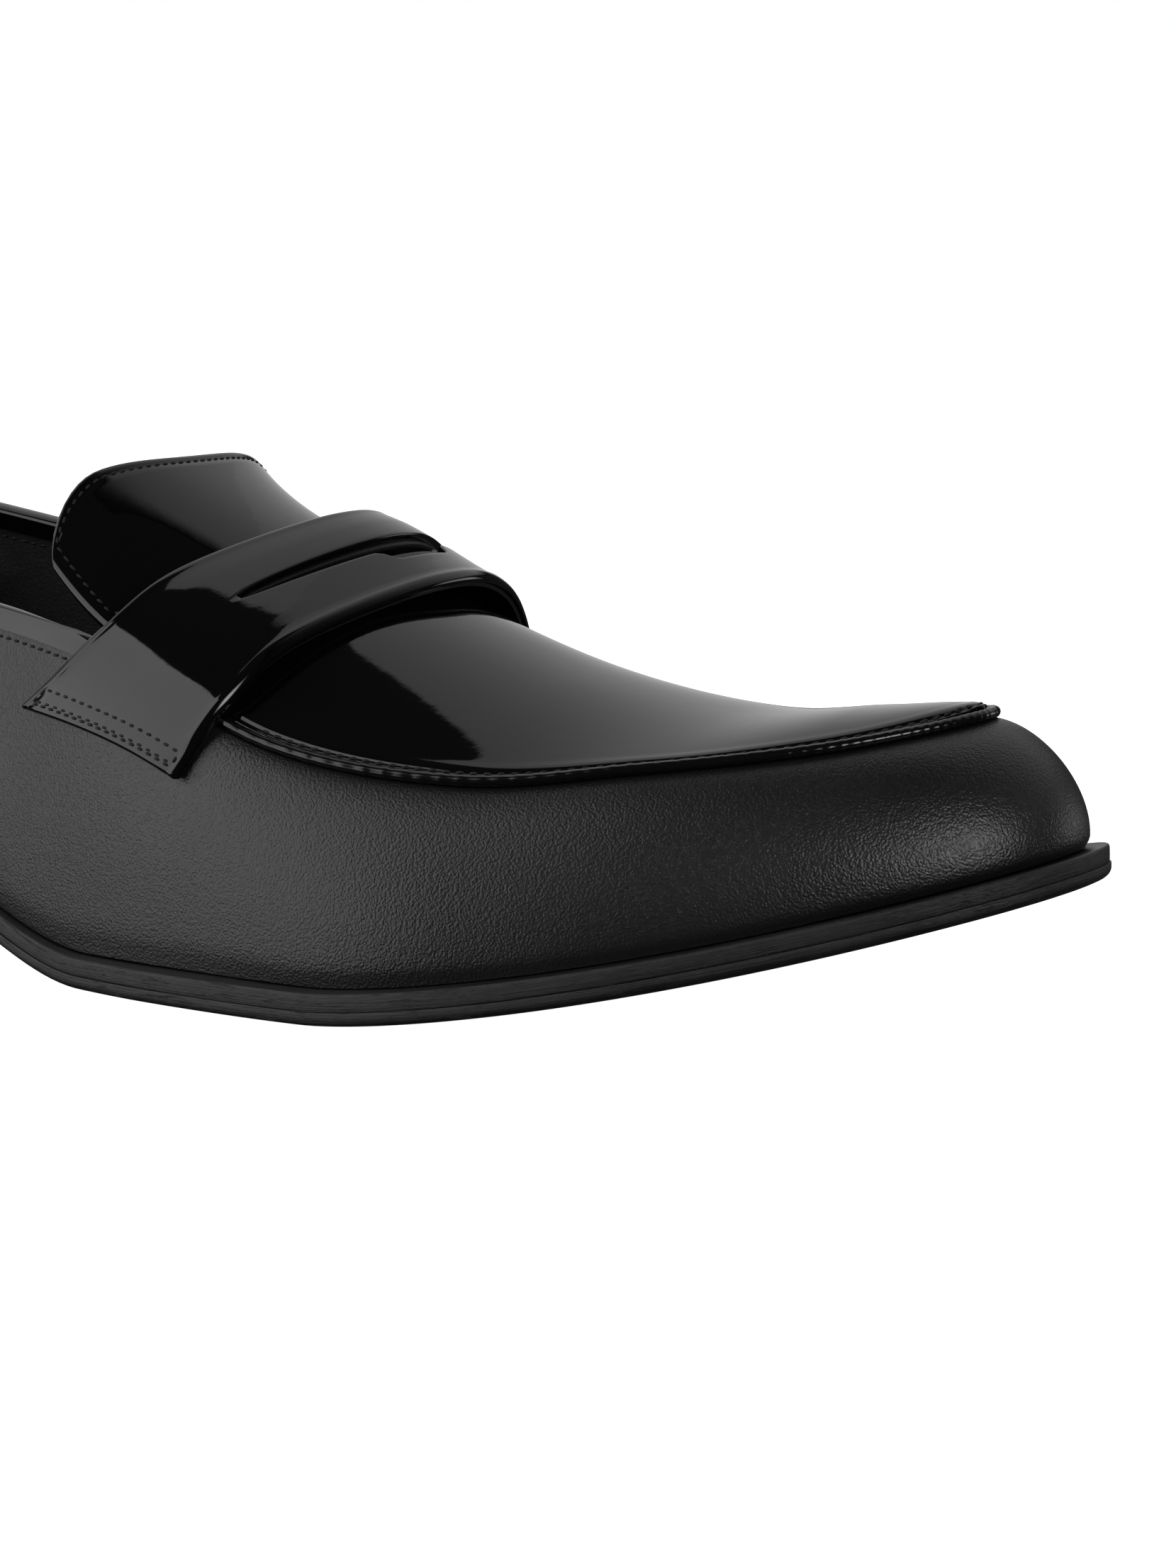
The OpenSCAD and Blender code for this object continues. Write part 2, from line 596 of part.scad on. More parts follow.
// Where a strap cell lies: across in q, and along in k lines that part around the slot
STRAP_K = [0, 0.2, 0.4, 0.6, 0.8, 1];
LIP = 0.3;
ARC_L = 118;
SLOT_Q = 0.53;
function slot_reach(q) = abs(q - SLOT_Q) * ARC_L;
function in_slot(q) = slot_reach(q) < slot_l / 2;
function lens(q) = in_slot(q) ? sqrt(1 - pow(slot_reach(q) / (slot_l / 2), 2)) * slot_w / 2 : 0;
function notch(q) = notch_d * (1 - smooth(notch_w / 2 - 2, notch_w / 2, slot_reach(q)));
function strap_k(q, j) = let (w = mix(strap_end_w, strap_mid_w, smooth(0, 0.4, 0.5 - abs(q - 0.5))))
    j == 2 ? 0.5 - (LIP + lens(q)) / w : j == 3 ? 0.5 + (LIP + lens(q) + notch(q)) / w
    : j == 1 ? 0.25 : j == 4 ? 0.78 : j == 0 ? 0 : 1;
STRAP_QS = [for (i = [0 : STRAP_ROWS_N]) i / STRAP_ROWS_N];
KS = 6;
RAIL_N = 8;
strap_rails = [for (m = [0 : RAIL_N]) strap_poles(m / RAIL_N)];
function strap_skin(q, k) = let (s = min(k * RAIL_N, RAIL_N - 0.0001), i = floor(s))
    mix(strap_line(strap_rails[i], q), strap_line(strap_rails[i + 1], q), s - i);
function strap_normal(q, k) =
    let (q0 = min(q, 1 - STEP / 4), k0 = min(k, 1 - STEP))
    unit(cross(strap_skin(q, k0 + STEP) - strap_skin(q, k0), strap_skin(q0 + STEP / 4, k) - strap_skin(q0, k)));
function strap_point(q, k, out) = strap_skin(q, k) + out * strap_normal(q, k);

module strap_sheet(low, high, q_in, k_in) {
    qs = [for (q = STRAP_QS) mix(q_in, 1 - q_in, q)];
    grid = function (out) [for (q = qs) [for (j = [0 : KS - 1])
        strap_point(q, mix(k_in, 1 - k_in, strap_k(q, j)), out)]];
    sheet(grid(high), grid(low), function (i, j) j == 2 && in_slot((qs[i] + qs[i + 1]) / 2));
}

module strap() {
    color([0.02, 0.02, 0.02]) strap_sheet(lining_t + gap, strap_t, 0, 0);
}

module strap_lining() {
    color([0.03, 0.03, 0.03]) strap_sheet(0, lining_t, 0.006, 0.012);
}

// ---------------------------------------------------------------- the tongue
// a runs from the seam under the strap (0) to the free end (1)
TONGUE_END_POWER = 4.2;
CORNER_FROM = 0.6;
TONGUE_REACH = 0.87;
TONGUE_RISE = 0.44;
TONGUE_SAG = 1.2;
END_CURVE = 7;
END_ASIDE = 2;
TONGUE_AS = [for (i = [0 : 10]) i / 10];
TONGUE_WS = [-1, -0.97, -0.9, -0.8, -0.66, -0.48, -0.25, 0, 0.25, 0.48, 0.66, 0.8, 0.9, 0.97, 1];
TONGUE_END_DROP = 10.5;
END_SKEW = 3.5;
SIDE_CLEAR = 5.5;
function seam_row(w) =
    let (p = plug_skin(REAR_U, w), n = unit(plug_skin(REAR_U + STEP, w) - plug_skin(REAR_U, w)))
    p - n * tongue_gap - [0, sign(w) * pow(abs(w), 4) * SIDE_CLEAR, 0];
function end_row(w) =
    let (mid = seam_row(0))
    [mid.x - tongue_l * TONGUE_REACH + END_SKEW * w - END_CURVE * w * w, mid.y - END_ASIDE + w * tongue_w / 2,
        mid.z + tongue_l * TONGUE_RISE - TONGUE_END_DROP * pow(abs(w), TONGUE_END_POWER)];
// How far out a point lies once the two free corners are rounded off
function rounded(a, w) = let (c = clamp01((abs(w) - CORNER_FROM) / (1 - CORNER_FROM)))
    a * (1 - corner_cut * (1 - sqrt(1 - c * c)));
function tongue_skin(a, w) = let (r = rounded(a, w))
    mix(seam_row(w), end_row(w), r) - [0, 0, TONGUE_SAG * 4 * r * (1 - r)];
function tongue_normal(a, w) =
    let (a0 = min(a, 1 - STEP), w0 = min(w, 1 - STEP / 2))
    unit(cross(tongue_skin(a, w0 + STEP / 2) - tongue_skin(a, w0), tongue_skin(a0 + STEP, w) - tongue_skin(a0, w)));
function tongue_at(a, w, depth) = tongue_skin(a, w) - depth * tongue_normal(a, w);

module tongue_sheet(near, far, inset) {
    grid = function (depth) [for (a = TONGUE_AS) [for (w = TONGUE_WS)
        tongue_at(mix(inset, 1 - inset, a), w * (1 - inset), depth)]];
    sheet(grid(far), grid(near));
}

module tongue() {
    color([0.02, 0.02, 0.02]) tongue_sheet(0, patent_t, 0);
}

module tongue_lining() {
    color([0.03, 0.03, 0.03]) tongue_sheet(patent_t + gap, patent_t + gap + lining_t, 0.01);
}

outsole();
welt();
cork_filler();
shank();
insole();
heel_lift_1();
heel_lift_2();
heel_lift_3();
top_piece();
top_piece_nails();
heel_nails();
heel_pad();
sock_liner();
vamp();
back_strip();
lining();
toe_puff();
heel_counter();
plug();
plug_lining();
plug_bead();
topline_binding();
strap();
strap_lining();
tongue();
tongue_lining();
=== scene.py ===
"""The looks of a penny loafer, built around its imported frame. Sizes are millimetres until a mesh is made."""

import logging
import math
import random
from collections.abc import Callable, Sequence
from dataclasses import dataclass, field
from enum import Enum

import bmesh
import bpy
import numpy as np
from mathutils import Matrix, Vector
from mathutils.bvhtree import BVHTree


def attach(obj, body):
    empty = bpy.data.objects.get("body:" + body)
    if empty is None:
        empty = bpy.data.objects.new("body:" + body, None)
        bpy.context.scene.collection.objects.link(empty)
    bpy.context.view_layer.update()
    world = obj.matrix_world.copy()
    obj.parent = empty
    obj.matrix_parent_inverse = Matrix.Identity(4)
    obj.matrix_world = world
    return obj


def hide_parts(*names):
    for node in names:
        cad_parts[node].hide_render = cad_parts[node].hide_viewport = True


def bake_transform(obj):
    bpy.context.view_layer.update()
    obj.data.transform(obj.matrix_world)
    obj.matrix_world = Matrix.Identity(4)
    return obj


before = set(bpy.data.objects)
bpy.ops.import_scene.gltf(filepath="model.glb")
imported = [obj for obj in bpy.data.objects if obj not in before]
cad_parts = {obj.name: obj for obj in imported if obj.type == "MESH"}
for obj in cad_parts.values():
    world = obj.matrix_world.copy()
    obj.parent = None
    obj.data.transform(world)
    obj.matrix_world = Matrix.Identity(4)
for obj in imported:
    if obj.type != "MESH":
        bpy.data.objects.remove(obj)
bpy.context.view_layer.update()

log = logging.getLogger("penny_loafer")
Array = np.ndarray
Faces = list[tuple[int, ...]]
Material = bpy.types.Material
Node = bpy.types.Node
Socket = bpy.types.NodeSocket
Tree = bpy.types.NodeTree
MM = 0.001
UP = np.array([0.0, 0.0, 1.0])


class Body(str, Enum):
    """The bodies that pieces ride on."""

    SHOE = "shoe"
    FLAP = "tongue_flap"


# ------------------------------------------------------------------ curves and small sums
def mix(a: Array | float, b: Array | float, u: Array | float) -> Array | float:
    """Value a share u of the way from a to b."""
    return a + (b - a) * u


def smooth(a: float, b: float, x: Array | float) -> Array | float:
    """Smooth step from 0 at a to 1 at b."""
    u = np.clip((np.asarray(x, float) - a) / (b - a), 0, 1)
    return u * u * (3 - 2 * u)


def ridge(x: Array, middle: float, half: float) -> Array:
    """Smooth ridge of height one over a middle."""
    return np.exp(-(((x - middle) / half) ** 2))


def paired(a: Array | float, b: Array | float) -> tuple[Array, Array]:
    """Both values as arrays of one shape."""
    return np.broadcast_arrays(np.asarray(a, float), np.asarray(b, float))


def catmull(a: Array, b: Array, c: Array, d: Array, f: Array) -> Array:
    """Catmull-Rom value between b and c.

    Args:
        a, b, c, d: Four control values.
        f: Share of the way from b to c.

    Returns:
        The value on the curve.
    """
    return 0.5 * (2 * b + (c - a) * f + (2 * a - 5 * b + 4 * c - d) * f**2 + (3 * b - a - 3 * c + d) * f**3)


def closed_curve(points: Array, u: Array) -> Array:
    """Point on a closed Catmull-Rom curve, with u counted in control points."""
    i = np.floor(u).astype(int)
    n = len(points)
    return catmull(*(points[(i + k) % n] for k in (-1, 0, 1, 2)), (u - i)[..., None])


def unit(v: Array) -> Array:
    """Vectors scaled to length one."""
    return v / np.maximum(np.linalg.norm(v, axis=-1, keepdims=True), 1e-9)


def solve(
    rising: Callable[[Array], Array], target: Array | float, lo: float, hi: float, like: Array
) -> Array:
    """Bisection of a rising function, on many values at once.

    Args:
        rising: The function.
        target: Value or values to reach.
        lo, hi: Search limits.
        like: Array whose shape the answer takes.

    Returns:
        Where the function reaches its target.
    """
    a, b = np.full(np.shape(like), float(lo)), np.full(np.shape(like), float(hi))
    for _ in range(24):
        m = (a + b) / 2
        low = rising(m) < target
        a, b = np.where(low, m, a), np.where(low, b, m)
    return (a + b) / 2


def edge_roll(distance: Array, radius: float) -> Array:
    """How far a rolled edge lies under the skin, at a distance inside the edge."""
    s = np.clip(radius - distance, 0, radius)
    return radius - np.sqrt(np.maximum(radius**2 - s**2, 0))


def lines_from_edges(width: float, near: Sequence[float], step: float) -> Array:
    """Line positions across a width, crowded at both edges.

    Args:
        width: Full width.
        near: Rising distances from each edge, from 0.
        step: Largest spacing in the middle.

    Returns:
        Rising positions from 0 to width.
    """
    n = max(2, math.ceil((width - 2 * near[-1]) / step) + 1)
    middle = np.linspace(near[-1], width - near[-1], n)[1:-1]
    return np.concatenate([near, middle, width - np.array(near[::-1])])


# ------------------------------------------------------------------ the last and the sole's line
@dataclass
class Last:
    """The foot form: where the sole runs and how the upper stands over it."""

    back_h: float = 66.0
    dip_h: float = 40.0
    waist_h: float = 51.0
    side_h: float = 29.0
    tip_h: float = 20.5
    instep_crown: float = 17.5
    toe_crown: float = 4.0
    heel_h: float = 21.0
    toe_spring: float = 22.0
    sole_t: float = 5.5
    upper_t: float = 1.4
    lining_t: float = 0.9
    patent_t: float = 1.3
    stiffener_t: float = 1.0
    gap: float = 0.1
    arch: tuple[float, float] = (34.0, 98.0)
    front: tuple[float, float] = (60.0, 110.0)
    foot_out: float = 1.7
    foot_rise: float = 0.45
    top_lean: float = 0.52
    heel_out: float = 2.0
    heel_dip: float = 0.35
    stiff_ends: tuple[float, float] = (2.75, 3.25)
    puff_top: tuple[float, float] = (0.83, 0.95)
    counter_top: tuple[float, float] = (0.71, 0.86)
    edge_heel: float = 1.4
    edge_ball: float = 3.4
    edge_run: tuple[float, float] = (70.0, 120.0)
    roll_x: float = 146.0
    toe_x: float = 255.0
    step: float = 0.02
    toe: int = 11
    count: int = 22
    feather_points: Array = field(init=False)
    top_points: Array = field(init=False)

    def __post_init__(self) -> None:
        """Lays out the stations: outer side from heel to toe, then back along the inner side."""
        d, w, s, t, b = self.dip_h, self.waist_h, self.side_h, self.tip_h, self.back_h
        rows = [
            (-33, 0, -31, 0, b),
            (-22, -23, -26, -18, b - 3),
            (0, -31, -4, -27, (b + d) / 2),
            (34, -33, 30, -28, d),
            (73, -37.5, 68, -32.5, w - 1),
            (113, -47, 101, -40, w),
            (148, -51.5, 134, -42.5, mix(s, w, 0.36)),
            (178, -48, 166, -39, s),
            (207, -39, 194, -31, mix(s, t, 0.37)),
            (232, -26.5, 217, -19.5, mix(s, t, 0.76)),
            (249, -12.5, 231, -8, t),
            (255, 2.5, 238, 4.5, t),
            (251, 18, 233, 15.5, t),
            (236, 32.5, 219, 26.5, mix(s, t, 0.9)),
            (210, 44, 196, 36, mix(s, t, 0.43)),
            (179, 49.5, 167, 41, s + 1),
            (149, 47, 136, 41.5, mix(s, w, 0.42)),
            (114, 36.5, 103, 37.5, w + 1),
            (74, 27.5, 69, 30, w + 3),
            (34, 28, 31, 27.5, d + 7),
            (0, 31, -4, 26, (b + d) / 2),
            (-22, 23, -26, 18, b - 3),
        ]
        table = np.array(rows, float)
        self.feather_points = np.column_stack([table[:, 0], table[:, 1], self.feather_z(table[:, 0])])
        self.top_points = np.column_stack(
            [table[:, 2], table[:, 3], self.feather_z(table[:, 0]) + table[:, 4]]
        )

    def ground_z(self, x: Array) -> Array:
        """Height of the outsole's underside over the ground."""
        roll = np.maximum(0, (np.asarray(x, float) - self.roll_x) / (self.toe_x - self.roll_x))
        return self.heel_h * (1 - smooth(*self.arch, x)) + self.toe_spring * roll**1.45

    def feather_z(self, x: Array) -> Array:
        """Height of the feather line, on top of the welt."""
        return self.ground_z(x) + self.sole_t

    def feather(self, u: Array) -> Array:
        """Point of the feather line."""
        p = closed_curve(self.feather_points, np.asarray(u, float)).copy()
        p[..., 2] = self.feather_z(p[..., 0])
        return p

    def top(self, u: Array) -> Array:
        """Point of the upper's top line."""
        return closed_curve(self.top_points, np.asarray(u, float))

    def outward(self, u: Array) -> Array:
        """Level direction that points out of the shoe."""
        u = np.asarray(u, float)
        d = self.feather(u + 0.05) - self.feather(u - 0.05)
        return unit(np.stack([d[..., 1], -d[..., 0], np.zeros_like(d[..., 0])], -1))

    def wall_skin(self, u: Array, v: Array) -> Array:
        """Outer skin of the side wall; v is 0 at the feather and 1 at the top line."""
        u, v = paired(u, v)
        b, t, n = self.feather(u), self.top(u), self.outward(u)
        h = (t - b)[..., 2:3]
        front = smooth(*self.front, b[..., 0:1])
        lean = np.maximum(1, ((b - t) * n).sum(-1, keepdims=True) * self.top_lean)
        low = b + n * self.foot_out + UP * self.foot_rise * h
        high = t + n * mix(self.heel_out, lean, front) - UP * self.heel_dip * h * (1 - front)
        v = v[..., None]
        w = 1 - v
        return w**3 * b + 3 * w * w * v * low + 3 * w * v * v * high + v**3 * t

    def wall_normal(self, u: Array, v: Array) -> Array:
        """Outward normal of the side wall."""
        u, v = paired(u, v)
        v0 = np.minimum(v, 1 - self.step)
        du = self.wall_skin(u + 0.05, v) - self.wall_skin(u - 0.05, v)
        dv = self.wall_skin(u, v0 + self.step) - self.wall_skin(u, v0)
        return unit(np.cross(du, dv))

    def wall(self, u: Array, v: Array, depth: Array | float) -> Array:
        """Point at a depth under the side wall's skin."""
        depth = np.asarray(depth, float)
        return self.wall_skin(u, v) - depth[..., None] * self.wall_normal(u, v)

    def drop_v(self, u: Array, drop: Array | float) -> Array:
        """Height share of the wall point that lies a distance under the top line."""
        u = np.asarray(u, float)
        return solve(lambda v: self.wall_skin(u, v)[..., 2], self.top(u)[..., 2] - drop, 0, 1, u)

    def from_toe(self, u: Array) -> Array:
        """Distance along the stations from the toe."""
        return np.abs(np.mod(u, self.count) - self.toe)

    def pocket(self, u: Array, v: Array) -> Array:
        """Extra room between upper and lining for the toe puff and heel counter."""
        a = self.from_toe(u)
        toe = (1 - smooth(*self.stiff_ends, a)) * (1 - smooth(*self.puff_top, v))
        heel = (1 - smooth(*self.stiff_ends, self.toe - a)) * (1 - smooth(*self.counter_top, v))
        return (self.stiffener_t + self.gap) * np.maximum(toe, heel)

    def lining_out(self, u: Array, v: Array) -> Array:
        """Depth of the lining's outer face."""
        return self.upper_t + self.gap + self.pocket(u, v)

    def lining_in(self, u: Array, v: Array) -> Array:
        """Depth of the lining's inner face."""
        return self.lining_out(u, v) + self.lining_t

    def seat(self, u: Array, inside: Array | float, above: float) -> Array:
        """Point inside the feather line and above the welt."""
        p = self.feather(u) - np.asarray(inside, float)[..., None] * self.outward(u)
        p[..., 2] = self.feather_z(p[..., 0]) + above
        return p

    def edge_out(self, x: Array) -> Array:
        """How far the welt stands out of the feather line."""
        return mix(self.edge_heel, self.edge_ball, smooth(*self.edge_run, x))

    def outline(self, u: Array, out: Callable[[Array], Array]) -> Array:
        """Plan position of the feather line moved outward, at height 0."""
        p, n = self.feather(u), self.outward(u)
        p = p + n * np.asarray(out(p[..., 0]))[..., None]
        p[..., 2] = 0
        return p


# ------------------------------------------------------------------ the plug, strap and tongue surfaces
@dataclass
class PlugForm:
    """The crowned plug over the instep; u from 4.9 to 10.75, w from -1 outside to 1 inside."""

    last: Last
    rear: float = 4.9
    tip: float = 10.75
    round_over: float = 1.2
    fullness: float = 2.15
    bow: Array = field(init=False)
    skew: Array = field(init=False)
    sweep: Array = field(init=False)
    crown: Array = field(init=False)

    def __post_init__(self) -> None:
        """Sets the rows, one for each station from the fourth on."""
        i, t = self.last.instep_crown, self.last.toe_crown
        self.crown = np.array([i * 0.4, i * 0.76, i, i * 0.7, t * 1.2, t, t * 0.6, t * 0.2, t * 0.2])
        self.bow = np.array([30, 18, 6, 2, 1, 1, 1, 0, 0], float)
        self.skew = np.array([8, 7, 3, 0, 0, 0, 0, 0, 0], float)
        self.sweep = np.array([4, 3.5, 2, 1, 0, 0, 0, 0, 0], float)

    def row(self, values: Array, u: Array) -> Array:
        """Value of a row list at a station."""
        i = np.floor(u).astype(int) - 4
        n = len(values) - 1
        pick = [values[np.clip(i + k, 0, n)] for k in (-1, 0, 1, 2)]
        return catmull(*pick, u - np.floor(u))

    def skin(self, u: Array, w: Array) -> Array:
        """Point of the plug's upper face."""
        u, w = paired(u, w)
        a, b = self.last.top(u), self.last.top(2 * self.last.toe - u)
        m = mix(a, b, ((w + 1) / 2)[..., None])
        q = 1 - w * w
        reach = self.last.top(np.array(float(self.last.toe)))[0] - self.last.top(np.array(self.tip))[0]
        bow = smooth(self.tip - self.round_over, self.tip, u) * reach
        rise = self.row(self.crown, u) * (1 - np.abs(w) ** self.fullness) + self.last.gap + self.last.patent_t
        ahead = (self.row(self.bow, u) + w * self.row(self.sweep, u) + bow) * q
        return m + np.stack([ahead, self.row(self.skew, u) * q, rise], -1)

    def normal(self, u: Array, w: Array) -> Array:
        """Upward normal of the plug."""
        u, w = paired(u, w)
        e = 0.05
        u0, w0 = np.minimum(u, self.tip - e), np.minimum(w, 1 - e)
        du = self.skin(u0 + e, w) - self.skin(u0, w)
        return unit(np.cross(du, self.skin(u, w0 + e) - self.skin(u, w0)))

    def at(self, u: Array, w: Array, depth: Array | float) -> Array:
        """Point at a depth under the plug's face."""
        return self.skin(u, w) - np.asarray(depth, float)[..., None] * self.normal(u, w)


@dataclass
class StrapForm:
    """The arched strap; q from its outer end (0) to its inner end (1), k from rear edge to front edge."""

    last: Last
    plug: PlugForm
    x: float = 84.0
    end_w: float = 36.5
    mid_w: float = 24.0
    drop: float = 15.0
    lift: float = 2.2
    arc: float = 118.0
    slot_l: float = 47.0
    slot_w: float = 2.4
    notch_w: float = 14.0
    notch_d: float = 2.6
    slot_q: float = 0.53
    lip: float = 0.3
    spread: float = 0.97
    inner_ahead: float = 23.0
    end_slant: float = 6.5
    mid_ahead: float = 33.0
    cross_v: float = 0.99
    cross_out: tuple[float, float] = (0.54, 0.36)
    cross_in: float = 0.2
    clearance: float = 0.7
    over_edges: tuple[float, float] = (0.8, 2.0)
    sunk: float = 0.35
    outer_shoulder: tuple[float, float, float] = (0.36, 0.31, 0.57)
    inner_shoulder: tuple[float, float, float] = (0.8, 0.37, 0.8)
    rails: Array = field(init=False)

    def __post_init__(self) -> None:
        """Works out the pole points of nine rails from the rear edge to the front edge."""
        self.rails = self.poles(np.linspace(0, 1, 9))

    def poles(self, k: Array) -> Array:
        """Pole points of rails, indexed by rail and then along the strap.

        Args:
            k: Rail positions.

        Returns:
            Array of rails by nine poles by three.
        """
        last, toe2 = self.last, 2 * self.last.toe

        def end_x(u: Array) -> Array:
            """Lengthwise place of a strap end on the wall."""
            return last.wall_skin(u, last.drop_v(u, self.drop))[..., 0]

        inner_x = self.x + self.inner_ahead + k * (self.end_w - self.end_slant)
        uo = solve(end_x, self.x + k * self.end_w * self.spread, 3, 8, k)
        ui = toe2 - solve(lambda u: end_x(toe2 - u), inner_x, 3, 8, k)
        mid_x = self.x + self.mid_ahead + k * self.mid_w
        um = solve(lambda u: self.plug.skin(u, 0.0)[..., 0], mid_x, 4.5, 8, k)
        clear = mix(*self.over_edges, smooth(0.3, 0.8, k)) + last.gap + self.clearance
        low = -self.sunk * np.ones_like(k)
        a = last.wall(uo, last.drop_v(uo, self.drop), low)
        b = last.wall(uo + mix(*self.cross_out, k), self.cross_v, -clear)
        c = self.plug.skin(um, 0.0) + UP * self.lift
        d = last.wall(ui - self.cross_in, self.cross_v, -clear)
        e = last.wall(ui, last.drop_v(ui, self.drop), low)
        outer = mix(b, c, np.array(self.outer_shoulder))
        inner = mix(d, c, np.array(self.inner_shoulder))
        return np.stack([2 * a - b, a, b, outer, c, inner, d, e, 2 * e - d], 1)

    def skin(self, q: Array, k: Array) -> Array:
        """Point of the strap's underside."""
        q, k = paired(q, k)
        s = np.minimum(k * 8, 7.9999)
        i = np.floor(s).astype(int)
        return mix(self._line(i, q), self._line(i + 1, q), (s - i)[..., None])

    def _line(self, rail: Array, q: Array) -> Array:
        """Point along given rails."""
        s = np.minimum(q * 6, 5.9999)
        j = np.floor(s).astype(int)
        return catmull(*(self.rails[rail, j + n] for n in range(4)), (s - j)[..., None])

    def normal(self, q: Array, k: Array) -> Array:
        """Upward normal of the strap."""
        q, k = paired(q, k)
        q0, k0 = np.minimum(q, 0.9875), np.minimum(k, 0.95)
        dk = self.skin(q, k0 + 0.05) - self.skin(q, k0)
        return unit(np.cross(dk, self.skin(q0 + 0.0125, k) - self.skin(q0, k)))

    def width(self, q: Array) -> Array:
        """Width of the strap at a place along it."""
        return mix(self.end_w, self.mid_w, smooth(0, 0.4, 0.5 - np.abs(q - 0.5)))

    def lips(self, q: Array) -> tuple[Array, Array]:
        """Distances of the slot's rear and front lips from the strap's middle line."""
        reach = np.abs(q - self.slot_q) * self.arc
        open_ = np.sqrt(np.maximum(0, 1 - (reach / (self.slot_l / 2)) ** 2)) * self.slot_w / 2
        notch = self.notch_d * (1 - smooth(self.notch_w / 2 - 2, self.notch_w / 2, reach))
        return self.lip + open_, self.lip + open_ + notch


@dataclass
class TongueForm:
    """The tongue; a from its seam under the strap (0) to its free end (1), w across."""

    last: Last
    plug: PlugForm
    length: float = 31.0
    width: float = 70.0
    gap: float = 1.4
    round_from: float = 0.6
    round_off: float = 0.38
    back: float = 0.87
    up: float = 0.44
    flare: float = 5.5
    slant: float = 3.5
    hollow: float = 7.0
    skew: float = 2.0
    droop: float = 10.5
    droop_power: float = 4.2
    sag: float = 1.2

    def seam(self, w: Array) -> Array:
        """Point of the row next to the plug's rear edge."""
        r = self.plug.rear
        p = self.plug.skin(r, w)
        n = unit(self.plug.skin(r + 0.05, w) - p)
        side = np.sign(w) * np.abs(w) ** 4 * self.flare
        return p - n * self.gap - np.stack([0 * side, side, 0 * side], -1)

    def skin(self, a: Array, w: Array) -> Array:
        """Point of the tongue's upper face."""
        a, w = paired(a, w)
        corner = np.clip((np.abs(w) - self.round_from) / (1 - self.round_from), 0, 1)
        a = a * (1 - self.round_off * (1 - np.sqrt(np.maximum(0, 1 - corner**2))))
        mid = self.seam(np.array(0.0))
        end_x = mid[0] - self.length * self.back + self.slant * w - self.hollow * w * w
        end_y = mid[1] - self.skew + w * self.width / 2
        end_z = mid[2] + self.length * self.up - self.droop * np.abs(w) ** self.droop_power
        end = np.stack([end_x, end_y, end_z], -1)
        sag = self.sag * 4 * a * (1 - a)
        return mix(self.seam(w), end, a[..., None]) - sag[..., None] * UP

    def normal(self, a: Array, w: Array) -> Array:
        """Upward normal of the tongue."""
        a, w = paired(a, w)
        a0, w0 = np.minimum(a, 0.95), np.minimum(w, 0.975)
        dw = self.skin(a, w0 + 0.025) - self.skin(a, w0)
        return unit(np.cross(dw, self.skin(a0 + 0.05, w) - self.skin(a0, w)))


# ------------------------------------------------------------------ mesh making
@dataclass
class Piece:
    """What a finished piece is called, what it stands for and its slot name."""

    name: str
    slot: str
    replaces: tuple[str, ...] = ()
    body: Body = Body.SHOE
    sharp_deg: float = 50.0


def make_piece(
    piece: Piece,
    verts: Array,
    faces: Faces,
    material: Material,
    merge: float = 0.0,
    runs: Array | None = None,
    blend: bool = False,
) -> bpy.types.Object:
    """Makes a closed mesh piece and puts it on its body, except a blend piece, whose transform is baked
    instead.

    Args:
        piece: Name, slot and what it replaces.
        verts: Points in millimetres.
        faces: Vertex loops.
        material: Its material.
        merge: Distance in millimetres under which points are joined.
        runs: Optional texture coordinates of each vertex, along and up the piece.
        blend: True to bake its transform and put it on no body, for a piece across the tongue's hinge.

    Returns:
        The object.
    """
    mesh = bpy.data.meshes.new(piece.name)
    mesh.from_pydata((np.asarray(verts).reshape(-1, 3) * MM).tolist(), [], faces)
    bm = bmesh.new()
    bm.from_mesh(mesh)
    if runs is not None:
        layer = bm.loops.layers.uv.new("run")
        bm.verts.ensure_lookup_table()
        for f in bm.faces:
            for loop in f.loops:
                loop[layer].uv = runs[loop.vert.index]
    if merge:
        bmesh.ops.remove_doubles(bm, verts=bm.verts, dist=merge * MM)
        bmesh.ops.dissolve_degenerate(bm, edges=bm.edges, dist=1e-7)
    bmesh.ops.recalc_face_normals(bm, faces=bm.faces)
    bm.to_mesh(mesh)
    bm.free()
    mesh.polygons.foreach_set("use_smooth", [True] * len(mesh.polygons))
    mesh.set_sharp_from_angle(angle=math.radians(piece.sharp_deg))
    mesh.materials.append(material)
    obj = bpy.data.objects.new(piece.name, mesh)
    bpy.context.scene.collection.objects.link(obj)
    if blend:
        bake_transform(obj)
    else:
        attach(obj, piece.body.value)
    if piece.replaces:
        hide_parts(*piece.replaces)
    log.info("%s: %d faces on %s", piece.name, len(mesh.polygons), piece.body.value)
    return obj


